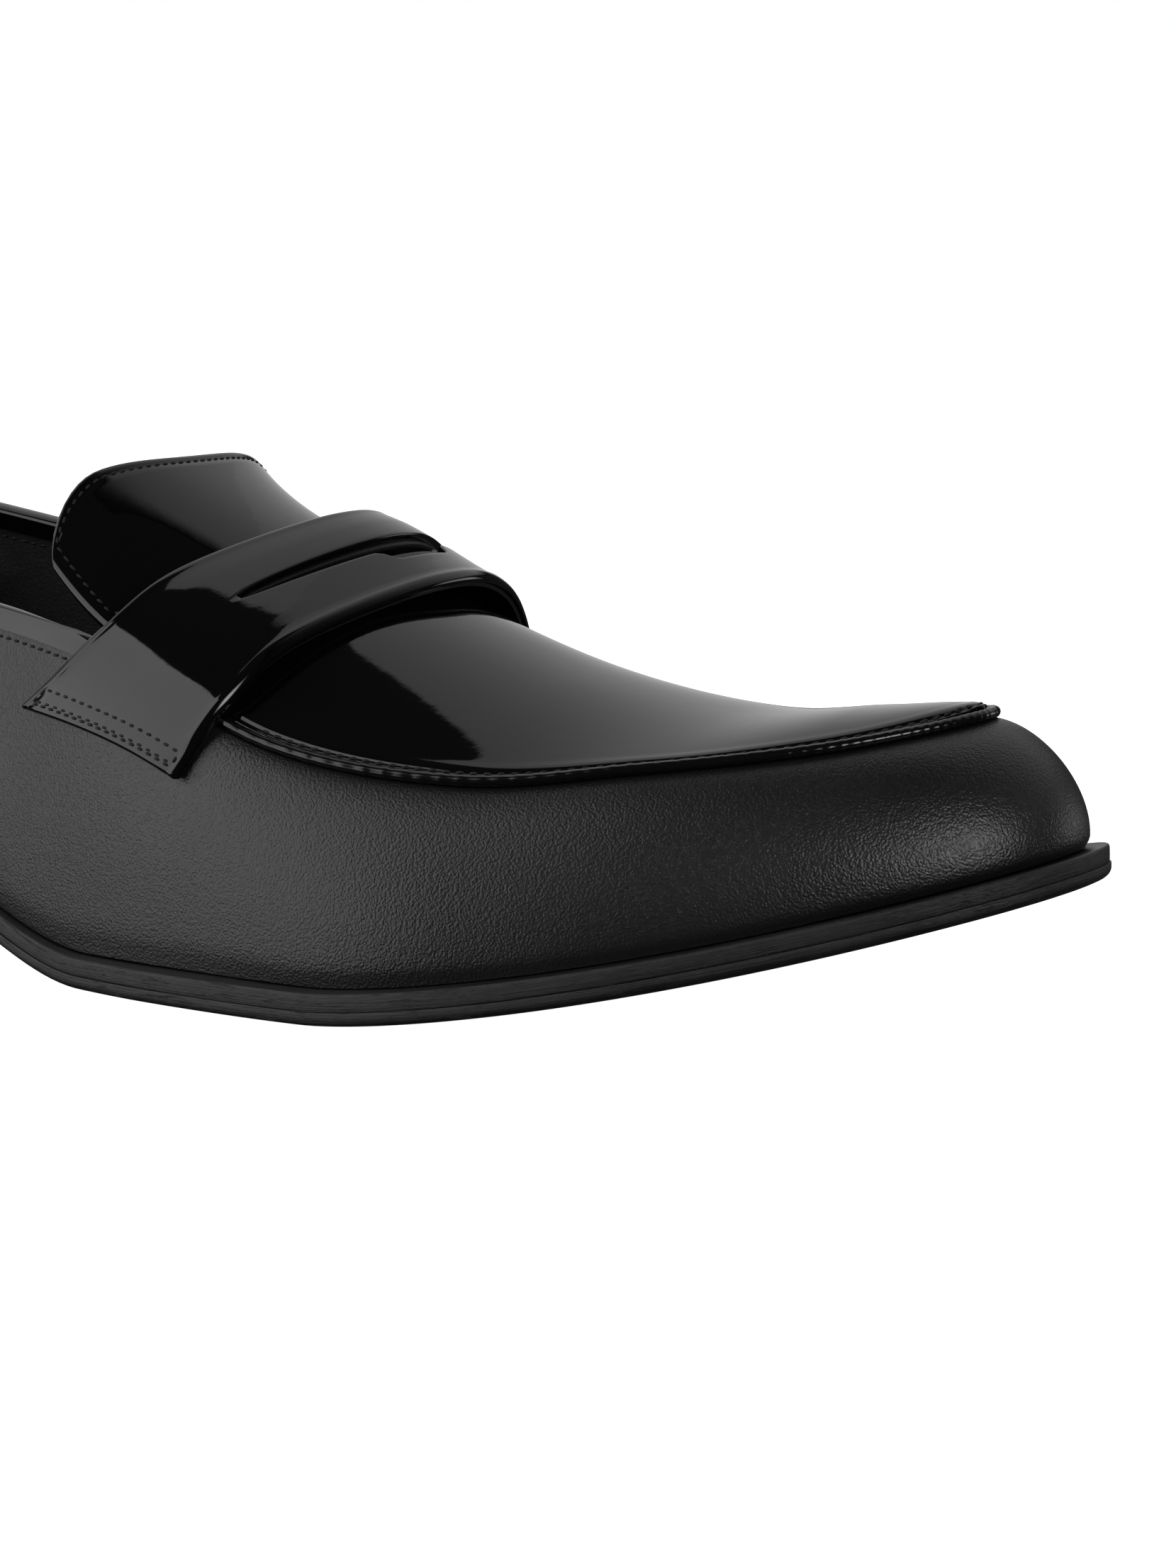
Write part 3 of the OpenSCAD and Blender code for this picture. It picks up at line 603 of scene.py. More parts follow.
def sheet_faces(rows: int, cols: int, skip: Callable[[int, int], bool] | None = None) -> Faces:
    """Faces of a thin sheet between two grids of points, the outer one first.

    Args:
        rows, cols: Grid size.
        skip: Says which cells are left open.

    Returns:
        Vertex loops.
    """
    n = rows * cols

    def filled(i: int, j: int) -> bool:
        """True if the cell is part of the sheet."""
        return 0 <= i < rows - 1 and 0 <= j < cols - 1 and not (skip and skip(i, j))

    faces = []
    for i in range(rows - 1):
        for j in range(cols - 1):
            if not filled(i, j):
                continue
            a, b, c, d = i * cols + j, (i + 1) * cols + j, (i + 1) * cols + j + 1, i * cols + j + 1
            faces += [(a, b, c, d), (n + a, n + d, n + c, n + b)]
            if not filled(i, j - 1):
                faces.append((b, a, n + a, n + b))
            if not filled(i, j + 1):
                faces.append((d, c, n + c, n + d))
            if not filled(i - 1, j):
                faces.append((a, d, n + d, n + a))
            if not filled(i + 1, j):
                faces.append((c, b, n + b, n + c))
    return faces


def make_sheet(
    piece: Piece,
    outer: Array,
    inner: Array,
    material: Material,
    skip: Callable[[int, int], bool] | None = None,
    blend: bool = False,
) -> tuple[Array, Faces]:
    """Makes a thin sheet between two grids of points.

    Args:
        piece: Name, slot and what it replaces.
        outer, inner: The grids, in millimetres.
        material: Its material.
        skip: Says which cells are left open.
        blend: True to bake its transform and put it on no body, for a piece across the tongue's hinge.

    Returns:
        Its points and faces.
    """
    verts = np.concatenate([outer.reshape(-1, 3), inner.reshape(-1, 3)])
    faces = sheet_faces(*outer.shape[:2], skip)
    make_piece(piece, verts, faces, material, blend=blend)
    return verts, faces


def grid_faces(rows: int, cols: int, base: int = 0, ring: bool = False, tube: bool = False) -> Faces:
    """Faces between the points of one grid.

    Args:
        rows, cols: Grid size.
        base: Index of the first point.
        ring: True to join the last column to the first.
        tube: True to join the last row to the first.

    Returns:
        Vertex loops.
    """
    faces = []
    across = range(cols if ring else cols - 1)
    for i in range(rows if tube else rows - 1):
        a, b = base + i * cols, base + (i + 1) % rows * cols
        faces += [(a + j, a + (j + 1) % cols, b + (j + 1) % cols, b + j) for j in across]
    return faces


def sweep_faces(rows: int, cols: int, closed: bool) -> Faces:
    """Faces of equal closed cross-sections joined in a row.

    Args:
        rows: How many sections.
        cols: Points in each.
        closed: True to join the last section to the first, False to cap both ends.

    Returns:
        Vertex loops.
    """
    faces = []
    for i in range(rows if closed else rows - 1):
        for j in range(cols):
            k, m = (j + 1) % cols, (i + 1) % rows
            faces.append((i * cols + j, m * cols + j, m * cols + k, i * cols + k))
    if not closed:
        faces += [tuple(range(cols - 1, -1, -1)), tuple((rows - 1) * cols + j for j in range(cols))]
    return faces


@dataclass
class StitchRow:
    """A row of sewn stitches, each a small bowed thread sunk at both ends."""

    pitch: float = 2.2
    share: float = 0.74
    width: float = 0.46
    height: float = 0.34
    sunk: float = 0.05
    slant_deg: float = 7.0
    around: int = 8
    along: int = 7
    seed: int = 7

    def build(self, path: Array, normals: Array, base: int = 0) -> tuple[Array, Faces]:
        """Lays stitches along a path.

        Args:
            path: Points of the seam, close together.
            normals: Surface normal at each.
            base: Index of the first vertex.

        Returns:
            Vertices and faces.
        """
        draw = random.Random(self.seed + len(path))
        length = np.concatenate([[0], np.cumsum(np.linalg.norm(np.diff(path, axis=0), axis=1))])
        n = max(1, round(length[-1] / self.pitch))
        centres = (np.arange(n) + 0.5) * length[-1] / n
        verts, faces = [], []
        half = self.pitch * self.share / 2
        ts = np.linspace(-1, 1, self.along)
        angles = np.arange(self.around) * 2 * math.pi / self.around
        for s in centres:
            p = np.array([np.interp(s, length, path[:, i]) for i in range(3)])
            ahead = np.array([np.interp(s + 0.3, length, path[:, i]) for i in range(3)])
            behind = np.array([np.interp(s - 0.3, length, path[:, i]) for i in range(3)])
            nrm = unit(np.array([np.interp(s, length, normals[:, i]) for i in range(3)]))
            t = unit(ahead - behind)
            side = unit(np.cross(nrm, t))
            turn = math.radians(self.slant_deg * draw.uniform(0.6, 1.4))
            t = t * math.cos(turn) + side * math.sin(turn)
            side = unit(np.cross(nrm, t))
            grow = draw.uniform(0.92, 1.06)
            start = base + len(verts)
            for j, x in enumerate(ts):
                fat = math.sqrt(max(0.02, 1 - abs(x) ** 3))
                lift = self.height * 0.5 * (1 - x * x) - self.sunk - self.height * 0.42 * x**6
                for a in angles:
                    verts.append(
                        p
                        + t * x * half * grow
                        + side * math.cos(a) * self.width / 2 * fat
                        + nrm * (lift + math.sin(a) * self.height / 2 * fat)
                    )
                if j:
                    for m in range(self.around):
                        a0, b0 = start + (j - 1) * self.around, start + j * self.around
                        k = (m + 1) % self.around
                        faces.append((a0 + m, a0 + k, b0 + k, b0 + m))
            end = start + (self.along - 1) * self.around
            faces.append(tuple(range(start + self.around - 1, start - 1, -1)))
            faces.append(tuple(range(end, end + self.around)))
        return np.array(verts), faces


# ------------------------------------------------------------------ finishes
class Sketch:
    """Short hand for placing and joining shader nodes in one tree."""

    def __init__(self, tree: Tree) -> None:
        """Keeps the tree."""
        self.tree = tree

    def add(self, kind: str, settings: dict | None = None, **links: object) -> Node:
        """Places a node.

        Args:
            kind: Node type without the ShaderNode prefix.
            settings: Node properties.
            **links: Input values or output sockets, by input name with spaces as underscores.

        Returns:
            The node.
        """
        node = self.tree.nodes.new("ShaderNode" + kind)
        for key, value in (settings or {}).items():
            setattr(node, key, value)
        for key, value in links.items():
            name = key.replace("_", " ")
            target = node.inputs[int(key[1:])] if key[0] == "i" and key[1:].isdigit() else node.inputs[name]
            if isinstance(value, Socket):
                self.tree.links.new(value, target)
            else:
                target.default_value = value
        return node

    def math(self, how: str, a: object, b: object = 0.0, clamp: bool = False) -> Socket:
        """Output of a Math node."""
        return self.add("Math", {"operation": how, "use_clamp": clamp}, i0=a, i1=b).outputs[0]

    def remap(self, value: object, a: float, b: float, c: float = 0.0, d: float = 1.0) -> Socket:
        """Output of a clamped Map Range node from a..b to c..d."""
        return self.add("MapRange", None, i0=value, i1=a, i2=b, i3=c, i4=d).outputs[0]

    def colour(self, share: object, a: Sequence[float], b: Sequence[float]) -> Socket:
        """Output of a colour Mix node between two fixed colours."""
        node = self.add("Mix", {"data_type": "RGBA"})
        node.inputs[6].default_value, node.inputs[7].default_value = (*a, 1), (*b, 1)
        self.tree.links.new(share, node.inputs[0])
        return node.outputs[2]


def new_group(
    name: str, takes: Sequence[tuple[str, str, float | None]], gives: Sequence[tuple[str, str]]
) -> tuple[Tree, Sketch, Node, Node]:
    """Starts a shader node group.

    Args:
        name: Its name.
        takes: Name, socket kind and default of each input.
        gives: Name and socket kind of each output.

    Returns:
        The group, a sketch on it, its input node and its output node.
    """
    group = bpy.data.node_groups.new(name, "ShaderNodeTree")
    for label, kind, value in takes:
        socket = group.interface.new_socket(name=label, in_out="INPUT", socket_type="NodeSocket" + kind)
        if value is not None:
            socket.default_value = value
    for label, kind in gives:
        group.interface.new_socket(name=label, in_out="OUTPUT", socket_type="NodeSocket" + kind)
    start, end = group.nodes.new("NodeGroupInput"), group.nodes.new("NodeGroupOutput")
    return group, Sketch(group), start, end


def pebble_group() -> Tree:
    """Group for the fine wrinkled grain of box leather: height, and a mask of pores at its lowest spots, used
    to darken the colour there as painted shade and to roughen it.
    """
    group, s, start, end = new_group(
        "pebble_grain",
        [("Vector", "Vector", None), ("Cell per metre", "Float", 1500.0)],
        [("Height", "Float"), ("Pores and painted shade", "Float")],
    )
    place, scale = start.outputs[0], start.outputs[1]
    warp = s.add("TexNoise", None, Vector=place, Scale=700.0, Detail=2.0, Roughness=0.6)
    bent = s.add("VectorMath", {"operation": "SCALE"}, i0=warp.outputs["Color"], Scale=0.0007)
    at = s.add("VectorMath", {"operation": "ADD"}, i0=place, i1=bent.outputs[0]).outputs[0]
    cells = s.add("TexVoronoi", {"feature": "SMOOTH_F1"}, Vector=at, Scale=scale, Smoothness=0.6)
    fine = s.add("TexNoise", None, Vector=at, Scale=3600.0, Detail=3.0, Roughness=0.55)
    crease = s.remap(cells.outputs["Distance"], 0.15, 0.75, 1.0, 0.0)
    height = s.math("ADD", s.math("MULTIPLY", crease, 0.7), s.math("MULTIPLY", fine.outputs["Fac"], 0.45))
    group.links.new(height, end.inputs[0])
    # Mask of pores at the grain's lowest spots; it darkens the colour there as painted shade.
    pores_and_painted_shade = s.remap(s.math("MULTIPLY", cells.outputs["Distance"], fine.outputs["Fac"]), 0.34, 0.5)
    group.links.new(pores_and_painted_shade, end.inputs[1])
    return group


def drift_group() -> Tree:
    """Group for slow change of tone over a surface, and fine scuffs."""
    group, s, start, end = new_group(
        "slow_drift",
        [("Vector", "Vector", None), ("Scale", "Float", 22.0)],
        [("Drift", "Float"), ("Scuff", "Float")],
    )
    slow = s.add("TexNoise", None, Vector=start.outputs[0], Scale=start.outputs[1], Detail=3.0)
    group.links.new(s.remap(slow.outputs["Fac"], 0.3, 0.7), end.inputs[0])
    stretch, lie = (60.0, 420.0, 420.0), (0.3, 0.2, 0.5)
    long = s.add("Mapping", None, Vector=start.outputs[0], Scale=stretch, Rotation=lie)
    thin = s.add("TexNoise", None, Vector=long.outputs[0], Scale=1.0, Detail=4.0, Roughness=0.7)
    group.links.new(s.remap(thin.outputs["Fac"], 0.6, 0.75), end.inputs[1])
    return group


def specks_group() -> Tree:
    """Group for sparse specks of dust."""
    group, s, start, end = new_group(
        "dust_specks",
        [("Vector", "Vector", None), ("Scale", "Float", 260.0), ("Size", "Float", 0.05)],
        [("Mask", "Float")],
    )
    cells = s.add("TexVoronoi", None, Vector=start.outputs[0], Scale=start.outputs[1])
    near = s.math("LESS_THAN", cells.outputs["Distance"], start.outputs[2])
    pick = s.add("SeparateColor", None, Color=cells.outputs["Color"]).outputs[0]
    group.links.new(s.math("MULTIPLY", near, s.math("GREATER_THAN", pick, 0.8)), end.inputs[0])
    return group


def layers_group() -> Tree:
    """Group for the fine lines that trimming leaves round a sole's edge; it reads the run map."""
    group, s, start, end = new_group(
        "trimmed_edge", [("Vector", "Vector", None)], [("Height", "Float"), ("Nicks", "Float")]
    )
    long = s.add("Mapping", None, Vector=start.outputs[0], Scale=(0.03, 3.4, 1.0))
    lines = s.add("TexNoise", None, Vector=long.outputs[0], Scale=1.0, Detail=5.0, Roughness=0.7)
    group.links.new(lines.outputs["Fac"], end.inputs[0])
    short = s.add("Mapping", None, Vector=start.outputs[0], Scale=(0.16, 0.9, 1.0))
    nick = s.add("TexNoise", None, Vector=short.outputs[0], Scale=1.0, Detail=6.0, Roughness=0.75)
    group.links.new(s.remap(nick.outputs["Fac"], 0.58, 0.72), end.inputs[1])
    return group


@dataclass(frozen=True)
class Finish:
    """A material's plain facts: colours, gloss and the strength of each effect."""

    name: str
    dark: tuple[float, float, float]
    light: tuple[float, float, float]
    rough: tuple[float, float] = (0.45, 0.55)
    specular: float = 0.5
    metallic: float = 0.0
    grain_mm: float = 0.0
    cells: float = 1500.0
    ripple_mm: float = 0.0
    ripple_scale: float = 120.0
    lines_mm: float = 0.0
    specks: float = 0.0
    drift: float = 22.0


class Shop:
    """Makes every material from its finish, with the shared effect groups built once."""

    def __init__(self) -> None:
        """Builds the effect groups."""
        self.pebble = pebble_group()
        self.drift = drift_group()
        self.specks = specks_group()
        self.layers = layers_group()

    def _group(
        self, s: Sketch, tree: Tree, vector: Socket, **values: float
    ) -> Node:
        """Places an effect group with its own values."""
        node = s.add("Group", {"node_tree": tree})
        s.tree.links.new(vector, node.inputs[0])
        for key, value in values.items():
            node.inputs[key.replace("_", " ")].default_value = value
        return node

    def make(self, f: Finish) -> Material:
        """Builds the material of a finish.

        Args:
            f: The finish.

        Returns:
            The material.
        """
        material = bpy.data.materials.new(f.name)
        material.use_nodes = True
        tree = material.node_tree
        s = Sketch(tree)
        skin = tree.nodes["Principled BSDF"]
        place = s.add("TexCoord").outputs["Object"]
        drift = self._group(s, self.drift, place, Scale=f.drift)
        share = drift.outputs["Drift"]
        rough = s.remap(share, 0, 1, *f.rough)
        height: Socket | None = None
        if f.grain_mm:
            grain = self._group(s, self.pebble, place, Cell_per_metre=f.cells)
            # Pores darken the base colour at the grain's low spots: painted shade in the hollows, besides the
            # pores' real roughness below.
            share = s.math("MULTIPLY", share, s.remap(grain.outputs["Pores and painted shade"], 0, 1, 1.0, 0.35))
            height = s.math("MULTIPLY", grain.outputs["Height"], f.grain_mm * MM)
            rough = s.math("ADD", rough, s.math("MULTIPLY", grain.outputs["Pores and painted shade"], 0.12), clamp=True)
        if f.lines_mm:
            run = s.add("UVMap", {"uv_map": "run"}).outputs[0]
            edge = self._group(s, self.layers, run)
            height = s.math("MULTIPLY", edge.outputs["Height"], f.lines_mm * MM)
            nicks = edge.outputs["Nicks"]
            height = s.math("SUBTRACT", height, s.math("MULTIPLY", nicks, f.lines_mm * 0.8 * MM))
            rough = s.math("ADD", rough, s.math("MULTIPLY", nicks, 0.15), clamp=True)
        if f.ripple_mm:
            ripple = s.add("TexNoise", None, Vector=place, Scale=f.ripple_scale, Detail=4.0, Roughness=0.5)
            wave = s.math("MULTIPLY", ripple.outputs["Fac"], f.ripple_mm * MM)
            height = wave if height is None else s.math("ADD", height, wave)
        if f.specks:
            dust = self._group(s, self.specks, place, Size=f.specks)
            share = s.math("ADD", share, s.math("MULTIPLY", dust.outputs["Mask"], 4.0))
            rough = s.math("ADD", rough, s.math("MULTIPLY", dust.outputs["Mask"], 0.4), clamp=True)
        rough = s.math("ADD", rough, s.math("MULTIPLY", drift.outputs["Scuff"], 0.05), clamp=True)
        tree.links.new(s.colour(share, f.dark, f.light), skin.inputs["Base Color"])
        tree.links.new(rough, skin.inputs["Roughness"])
        if height is not None:
            bump = s.add("Bump", None, Strength=1.0, Distance=1.0, Height=height)
            tree.links.new(bump.outputs[0], skin.inputs["Normal"])
        skin.inputs["Metallic"].default_value = f.metallic
        skin.inputs["Specular IOR Level"].default_value = f.specular
        return material


def grey(tone: float) -> tuple[float, float, float]:
    """A neutral colour."""
    return (tone, tone, tone)


BOX_LEATHER = Finish(
    "matte_box_leather", (0.007, 0.007, 0.0072), (0.011, 0.011, 0.0112), (0.35, 0.43), 0.62,
    grain_mm=0.075, cells=2400.0,
)
PATENT = Finish(
    "black_patent", (0.002, 0.002, 0.0022), (0.0032, 0.0032, 0.0034), (0.035, 0.06), 0.5,
    ripple_mm=0.016, ripple_scale=260.0, specks=0.035,
)
BEAD_PATENT = Finish(
    "bead_patent", grey(0.003), grey(0.005), (0.12, 0.2), 0.5,
    ripple_mm=0.03, ripple_scale=420.0,
)
LINING_LEATHER = Finish(
    "lining_kid", grey(0.006), grey(0.013), (0.42, 0.5), 0.4, grain_mm=0.03, cells=1900.0,
    ripple_mm=0.25, ripple_scale=60.0,
)
EDGE_DRESSING = Finish(
    "edge_dressing", grey(0.009), grey(0.02), (0.34, 0.46), 0.5, lines_mm=0.16, ripple_mm=0.08,
    ripple_scale=300.0, drift=60.0,
)
TOP_RUBBER = Finish(
    "top_piece_rubber", grey(0.01), grey(0.018), (0.6, 0.75), 0.35, grain_mm=0.05, cells=2600.0
)
SOCK_LEATHER = Finish(
    "sock_leather", grey(0.008), grey(0.016), (0.4, 0.52), 0.4, grain_mm=0.035, cells=1700.0,
    ripple_mm=0.2, ripple_scale=45.0,
)
THREAD = Finish(
    "waxed_thread", grey(0.006), grey(0.014), (0.5, 0.65), 0.35, ripple_mm=0.05, ripple_scale=4200.0
)
BOARD = Finish(
    "fibre_board", (0.33, 0.23, 0.14), (0.45, 0.33, 0.21), (0.75, 0.9), 0.3, ripple_mm=0.1, ripple_scale=900.0
)
CORK = Finish(
    "ground_cork", (0.2, 0.12, 0.06), (0.42, 0.28, 0.15), (0.8, 0.95), 0.2,
    grain_mm=0.2, cells=700.0, drift=400.0,
)
CANVAS_STIFF = Finish(
    "stiffener", (0.55, 0.5, 0.4), (0.7, 0.65, 0.55), (0.7, 0.85), 0.3, ripple_mm=0.08, ripple_scale=1500.0
)
LATEX_FOAM = Finish("latex_foam", (0.62, 0.58, 0.47), (0.75, 0.71, 0.6), (0.85, 0.95), 0.2, grain_mm=0.12)
STEEL = Finish(
    "spring_steel", (0.3, 0.31, 0.33), (0.42, 0.43, 0.45), (0.28, 0.42), metallic=1.0, ripple_mm=0.02
)
BRASS = Finish("brass_nail", (0.45, 0.31, 0.12), (0.62, 0.45, 0.2), (0.25, 0.4), metallic=1.0, ripple_mm=0.02)


@dataclass
class Kit:
    """The materials that the pieces are made of."""

    leather: Material
    patent: Material
    bead: Material
    kid: Material
    thread: Material
    edge: Material
    rubber: Material
    sock: Material
    foam: Material


# ------------------------------------------------------------------ sub-assemblies
# Distance in millimetres under which points that meet are joined
MERGE = 0.01
# Line spacing in from a rolled edge
ROLL_NEAR = (0.0, 0.05, 0.16, 0.34, 0.6, 0.95, 1.3, 1.7, 2.1, 2.6)


@dataclass
class LeatherUpper:
    """The lasted side wall with its back strip, stiffeners' cover and lining."""

    last: Last
    steps: int = 440
    crease: float = 0.55
    strip_t: float = 1.0
    allowance: float = 8.0
    low_clear: float = 0.25
    strip_half_u: float = 0.5
    strip_half_w: float = 12.0
    strip_low_v: float = 0.05
    strip_drop: float = 4.0
    strip_row: float = 1.8
    skive: float = 0.7

    def build(self, kit: Kit) -> None:
        """Makes the wall, the back strip and the lining.

        Args:
            kit: The materials.
        """
        self._wall(kit)
        self._strip(kit)
        self._lining(kit)

    def _wall(self, kit: Kit) -> None:
        """Makes the side wall, turned in under its feather edge."""
        last = self.last
        u = (np.arange(self.steps) * last.count / self.steps)[:, None]
        foot_v, top_v = [0.004, 0.012, 0.025, 0.045, 0.07], [0.97, 0.985, 0.995, 1.0]
        v = np.concatenate([foot_v, np.linspace(0.1, 0.95, 40), top_v])[None]
        fold = self.crease * (1 - smooth(0, 0.07, v)) + 0.3 * smooth(0.985, 1, v)
        outer = last.wall(u, v, fold + 0 * u)
        inner = last.wall(u, v[:, ::-6], last.upper_t + 0 * u * v[:, ::-6])
        one = u[:, 0]
        foot = [
            last.seat(one, last.upper_t * 1.2, last.upper_t),
            last.seat(one, self.allowance, last.upper_t * 0.8),
            last.seat(one, self.allowance, self.low_clear),
            last.seat(one, 1.2, self.low_clear),
        ]
        verts = np.concatenate([outer, inner[:, :-1], np.stack(foot, 1)], 1)
        faces = sweep_faces(self.steps, verts.shape[1], True)
        make_piece(Piece("wall_leather", "upper_leather", ("vamp",), sharp_deg=65), verts, faces, kit.leather)

    def _strip(self, kit: Kit) -> None:
        """Makes the strip that covers the seam at the heel, with its edges skived."""
        last = self.last
        half, low = self.strip_half_u, self.strip_low_v
        top = float(last.drop_v(np.array([0.0]), self.strip_drop)[0])
        side = np.linspace(-half, half, 41)
        v = np.linspace(low, top, 60)
        across = (half - np.abs(side)) / half * self.strip_half_w
        up = np.minimum(v - low, top - v) * last.back_h
        edge = np.minimum(across[:, None], up[None])
        stand = last.gap + self.strip_t - edge_roll(edge, self.skive) * 1.2
        groove = 0.25 * ridge(across[:, None], self.strip_row, 0.3) + 0 * v[None]
        outer = last.wall(side[:, None], v[None], -(np.maximum(stand, last.gap + 0.1) - groove))
        inner = last.wall(side[:, None], v[None], -last.gap * np.ones_like(edge))
        make_sheet(Piece("heel_back_strip", "upper_leather", ("back_strip",)), outer, inner, kit.leather)

    def _lining(self, kit: Kit) -> None:
        """Makes the lining inside the wall."""
        last = self.last
        u = (np.arange(self.steps // 2) * last.count / (self.steps // 2))[:, None]
        v = np.linspace(0.03, 1, 44)[None]
        inner = last.wall(u, v, last.lining_in(u, v))
        outer = last.wall(u, v[:, ::-3], last.lining_out(u, v[:, ::-3]))
        one = u[:, 0]
        low_in = last.seat(one, last.lining_in(one, 0.0) * 1.2, 1.5)
        low_out = last.seat(one, last.lining_out(one, 0.0) * 1.2, 1.5)
        verts = np.concatenate([low_in[:, None], inner, outer, low_out[:, None]], 1)
        faces = sweep_faces(len(one), verts.shape[1], True)
        piece = Piece("quarter_lining", "lining_leather", ("lining",), sharp_deg=65)
        make_piece(piece, verts, faces, kit.kid)


@dataclass
class PlugSet:
    """The patent plug, its bead and the stitch row that joins them."""

    last: Last
    form: PlugForm
    bead_r: float = 1.0
    bead_from: float = 5.76
    inset: float = 0.95
    groove: float = 0.26
    groove_half: float = 0.34
    rim_roll: float = 0.5
    puff: float = 0.1
    puff_in: float = 2.3
    around: int = 16

    def build(self, kit: Kit) -> None:
        """Makes the plug, bead and stitches.

        Args:
            kit: The materials.
        """
        self._bead(kit)
        self._stitches(self._plug(kit), kit)

    def _rim(self) -> Array:
        """Points of the plug's sewn edge, from the outer rear to the inner rear."""
        u = np.linspace(self.form.rear, self.form.tip, 400)
        w = np.linspace(-1, 1, 41)[1:-1]
        return np.concatenate(
            [self.form.skin(u, -1.0), self.form.skin(self.form.tip, w), self.form.skin(u[::-1], 1.0)]
        )

    def _plug(self, kit: Kit) -> BVHTree:
        """Makes the plug's sheet with a rolled rim and a sewn channel.

        Args:
            kit: The materials.

        Returns:
            A search tree of its mesh in millimetres.
        """
        form = self.form
        u = np.concatenate([np.linspace(form.rear, 10.2, 240), np.linspace(10.2, form.tip, 60)[1:]])
        share = np.sin(np.linspace(-1, 1, 91) * math.pi / 2)
        w = np.sign(share) * (1 - (1 - np.abs(share)) ** 1.15)
        skin = form.skin(u[:, None], w[None])
        flat_rim = self._rim()
        gap = np.empty(skin.shape[:2])
        for i in range(len(u)):
            gap[i] = np.sqrt(((skin[i][:, None] - flat_rim[None]) ** 2).sum(-1)).min(-1)
        depth = edge_roll(gap, self.rim_roll) + self.groove * ridge(gap, self.inset, self.groove_half)
        depth = depth - self.puff * ridge(gap, self.puff_in, 0.9)
        outer = form.at(u[:, None], w[None], depth)
        inner = form.at(u[:, None], w[None], np.full(gap.shape, self.last.patent_t))
        piece = Piece("plug_patent", "patent_leather", ("plug",), sharp_deg=60)
        verts, faces = make_sheet(piece, outer, inner, kit.patent)
        return BVHTree.FromPolygons([Vector(p) for p in verts], faces)

    def _bead(self, kit: Kit) -> None:
        """Makes the rolled bead round the plug."""
        u = np.linspace(self.bead_from, 2 * self.last.toe - self.bead_from, 420)
        n = self.last.outward(u)
        wobble = 0.04 * np.sin(u * 61.0) + 0.03 * np.sin(u * 143.0 + 1)
        centre = self.last.top(u) + n * (self.bead_r + self.last.gap) + UP * self.bead_r * 0.9
        a = np.arange(self.around) * 2 * math.pi / self.around
        r = (self.bead_r + wobble)[:, None, None]
        ring = n[:, None] * np.cos(a)[None, :, None] + UP * np.sin(a)[None, :, None] * 0.94
        verts = centre[:, None] + r * ring
        piece = Piece("plug_rolled_bead", "patent_leather", ("plug_bead",))
        make_piece(piece, verts, sweep_faces(len(u), self.around, False), kit.bead)

    def _stitches(self, tree: BVHTree, kit: Kit) -> None:
        """Sews the row inside the plug's rim."""
        rim = self._rim()
        ahead = unit(np.gradient(rim, axis=0))
        inward = unit(np.cross(UP, ahead))
        spots, normals = [], []
        for p, n in zip(rim, inward):
            q = p + n * self.inset
            hit, face_n, _, _ = tree.ray_cast(Vector((q[0], q[1], q[2] + 12)), Vector((0, 0, -1)))
            if hit is None:
                continue
            spots.append(np.array(hit))
            normals.append(np.array(face_n) * (1 if face_n.z > 0 else -1))
        path, nrm = np.array(spots), np.array(normals)
        keep = slice(len(path) // 12, -len(path) // 12)
        verts, faces = StitchRow(pitch=2.3, width=0.5).build(path[keep], nrm[keep])
        make_piece(Piece("plug_stitches", "patent_leather"), verts, faces, kit.thread)


@dataclass
class Topline:
    """The patent binding of the mouth with the stitch rows under it."""

    last: Last
    fall: float = 3.0
    thick: float = 0.8
    from_u: float = 17.0
    to_u: float = 27.0
    row_under: float = 1.3
    inner_row_under: float = 1.6

    def build(self, kit: Kit) -> None:
        """Makes the binding and its stitches.

        Args:
            kit: The materials.
        """
        last = self.last
        u = np.linspace(self.from_u, self.to_u, 321)
        low = last.drop_v(u, self.fall)
        n, p = last.wall_normal(u, 1.0), last.top(u)
        inner = last.lining_in(u, 1.0) + 2 * last.gap
        out = 2 * last.gap + self.thick
        sections = []
        shares = (0.0, 0.1, 0.35, 0.6, 0.85)
        for skin, lift in ((0.0, 0.95), (1.0, 0.25)):
            stand = out - skin * (self.thick - 0.05)
            depth = inner + self.thick * (1 - skin)
            leg = [last.wall(u, mix(low, 1.0, s), -stand * np.ones_like(u)) for s in shares]
            arc = []
            for a in np.linspace(0, math.pi, 13):
                across = mix(-depth, stand * np.ones_like(u), (1 + math.cos(a)) / 2)
                rise = (lift if math.sin(a) > 0 else 0) * math.sin(a) ** 0.8 + last.gap
                arc.append(p + n * across[:, None] + UP * rise)
            back = [last.wall(u, mix(low, 1.0, s), depth) for s in shares[::-1]]
            sections.append(leg + arc + back)
        ring = np.stack(sections[0] + sections[1][::-1], 1)
        roll = Piece("mouth_binding", "patent_leather", ("topline_binding",), sharp_deg=60)
        make_piece(roll, ring, sweep_faces(len(u), ring.shape[1], False), kit.patent)
        self._rows(kit)

    def _rows(self, kit: Kit) -> None:
        """Sews one row under the binding outside, and one inside."""
        last = self.last
        u = np.linspace(self.from_u + 0.1, self.to_u - 0.1, 600)
        v = last.drop_v(u, self.fall + self.row_under)
        n = last.wall_normal(u, v)
        sewn = StitchRow(pitch=2.1, width=0.48)
        verts, faces = sewn.build(last.wall(u, v, np.zeros_like(u)), n)
        v_in = last.drop_v(u, self.fall + self.inner_row_under)
        inside = last.wall(u, v_in, last.lining_in(u, v_in))
        more, more_faces = sewn.build(inside, -last.wall_normal(u, v_in), len(verts))
        sewn_points = np.concatenate([verts, more])
        make_piece(Piece("mouth_stitches", "upper_leather"), sewn_points, faces + more_faces, kit.thread)


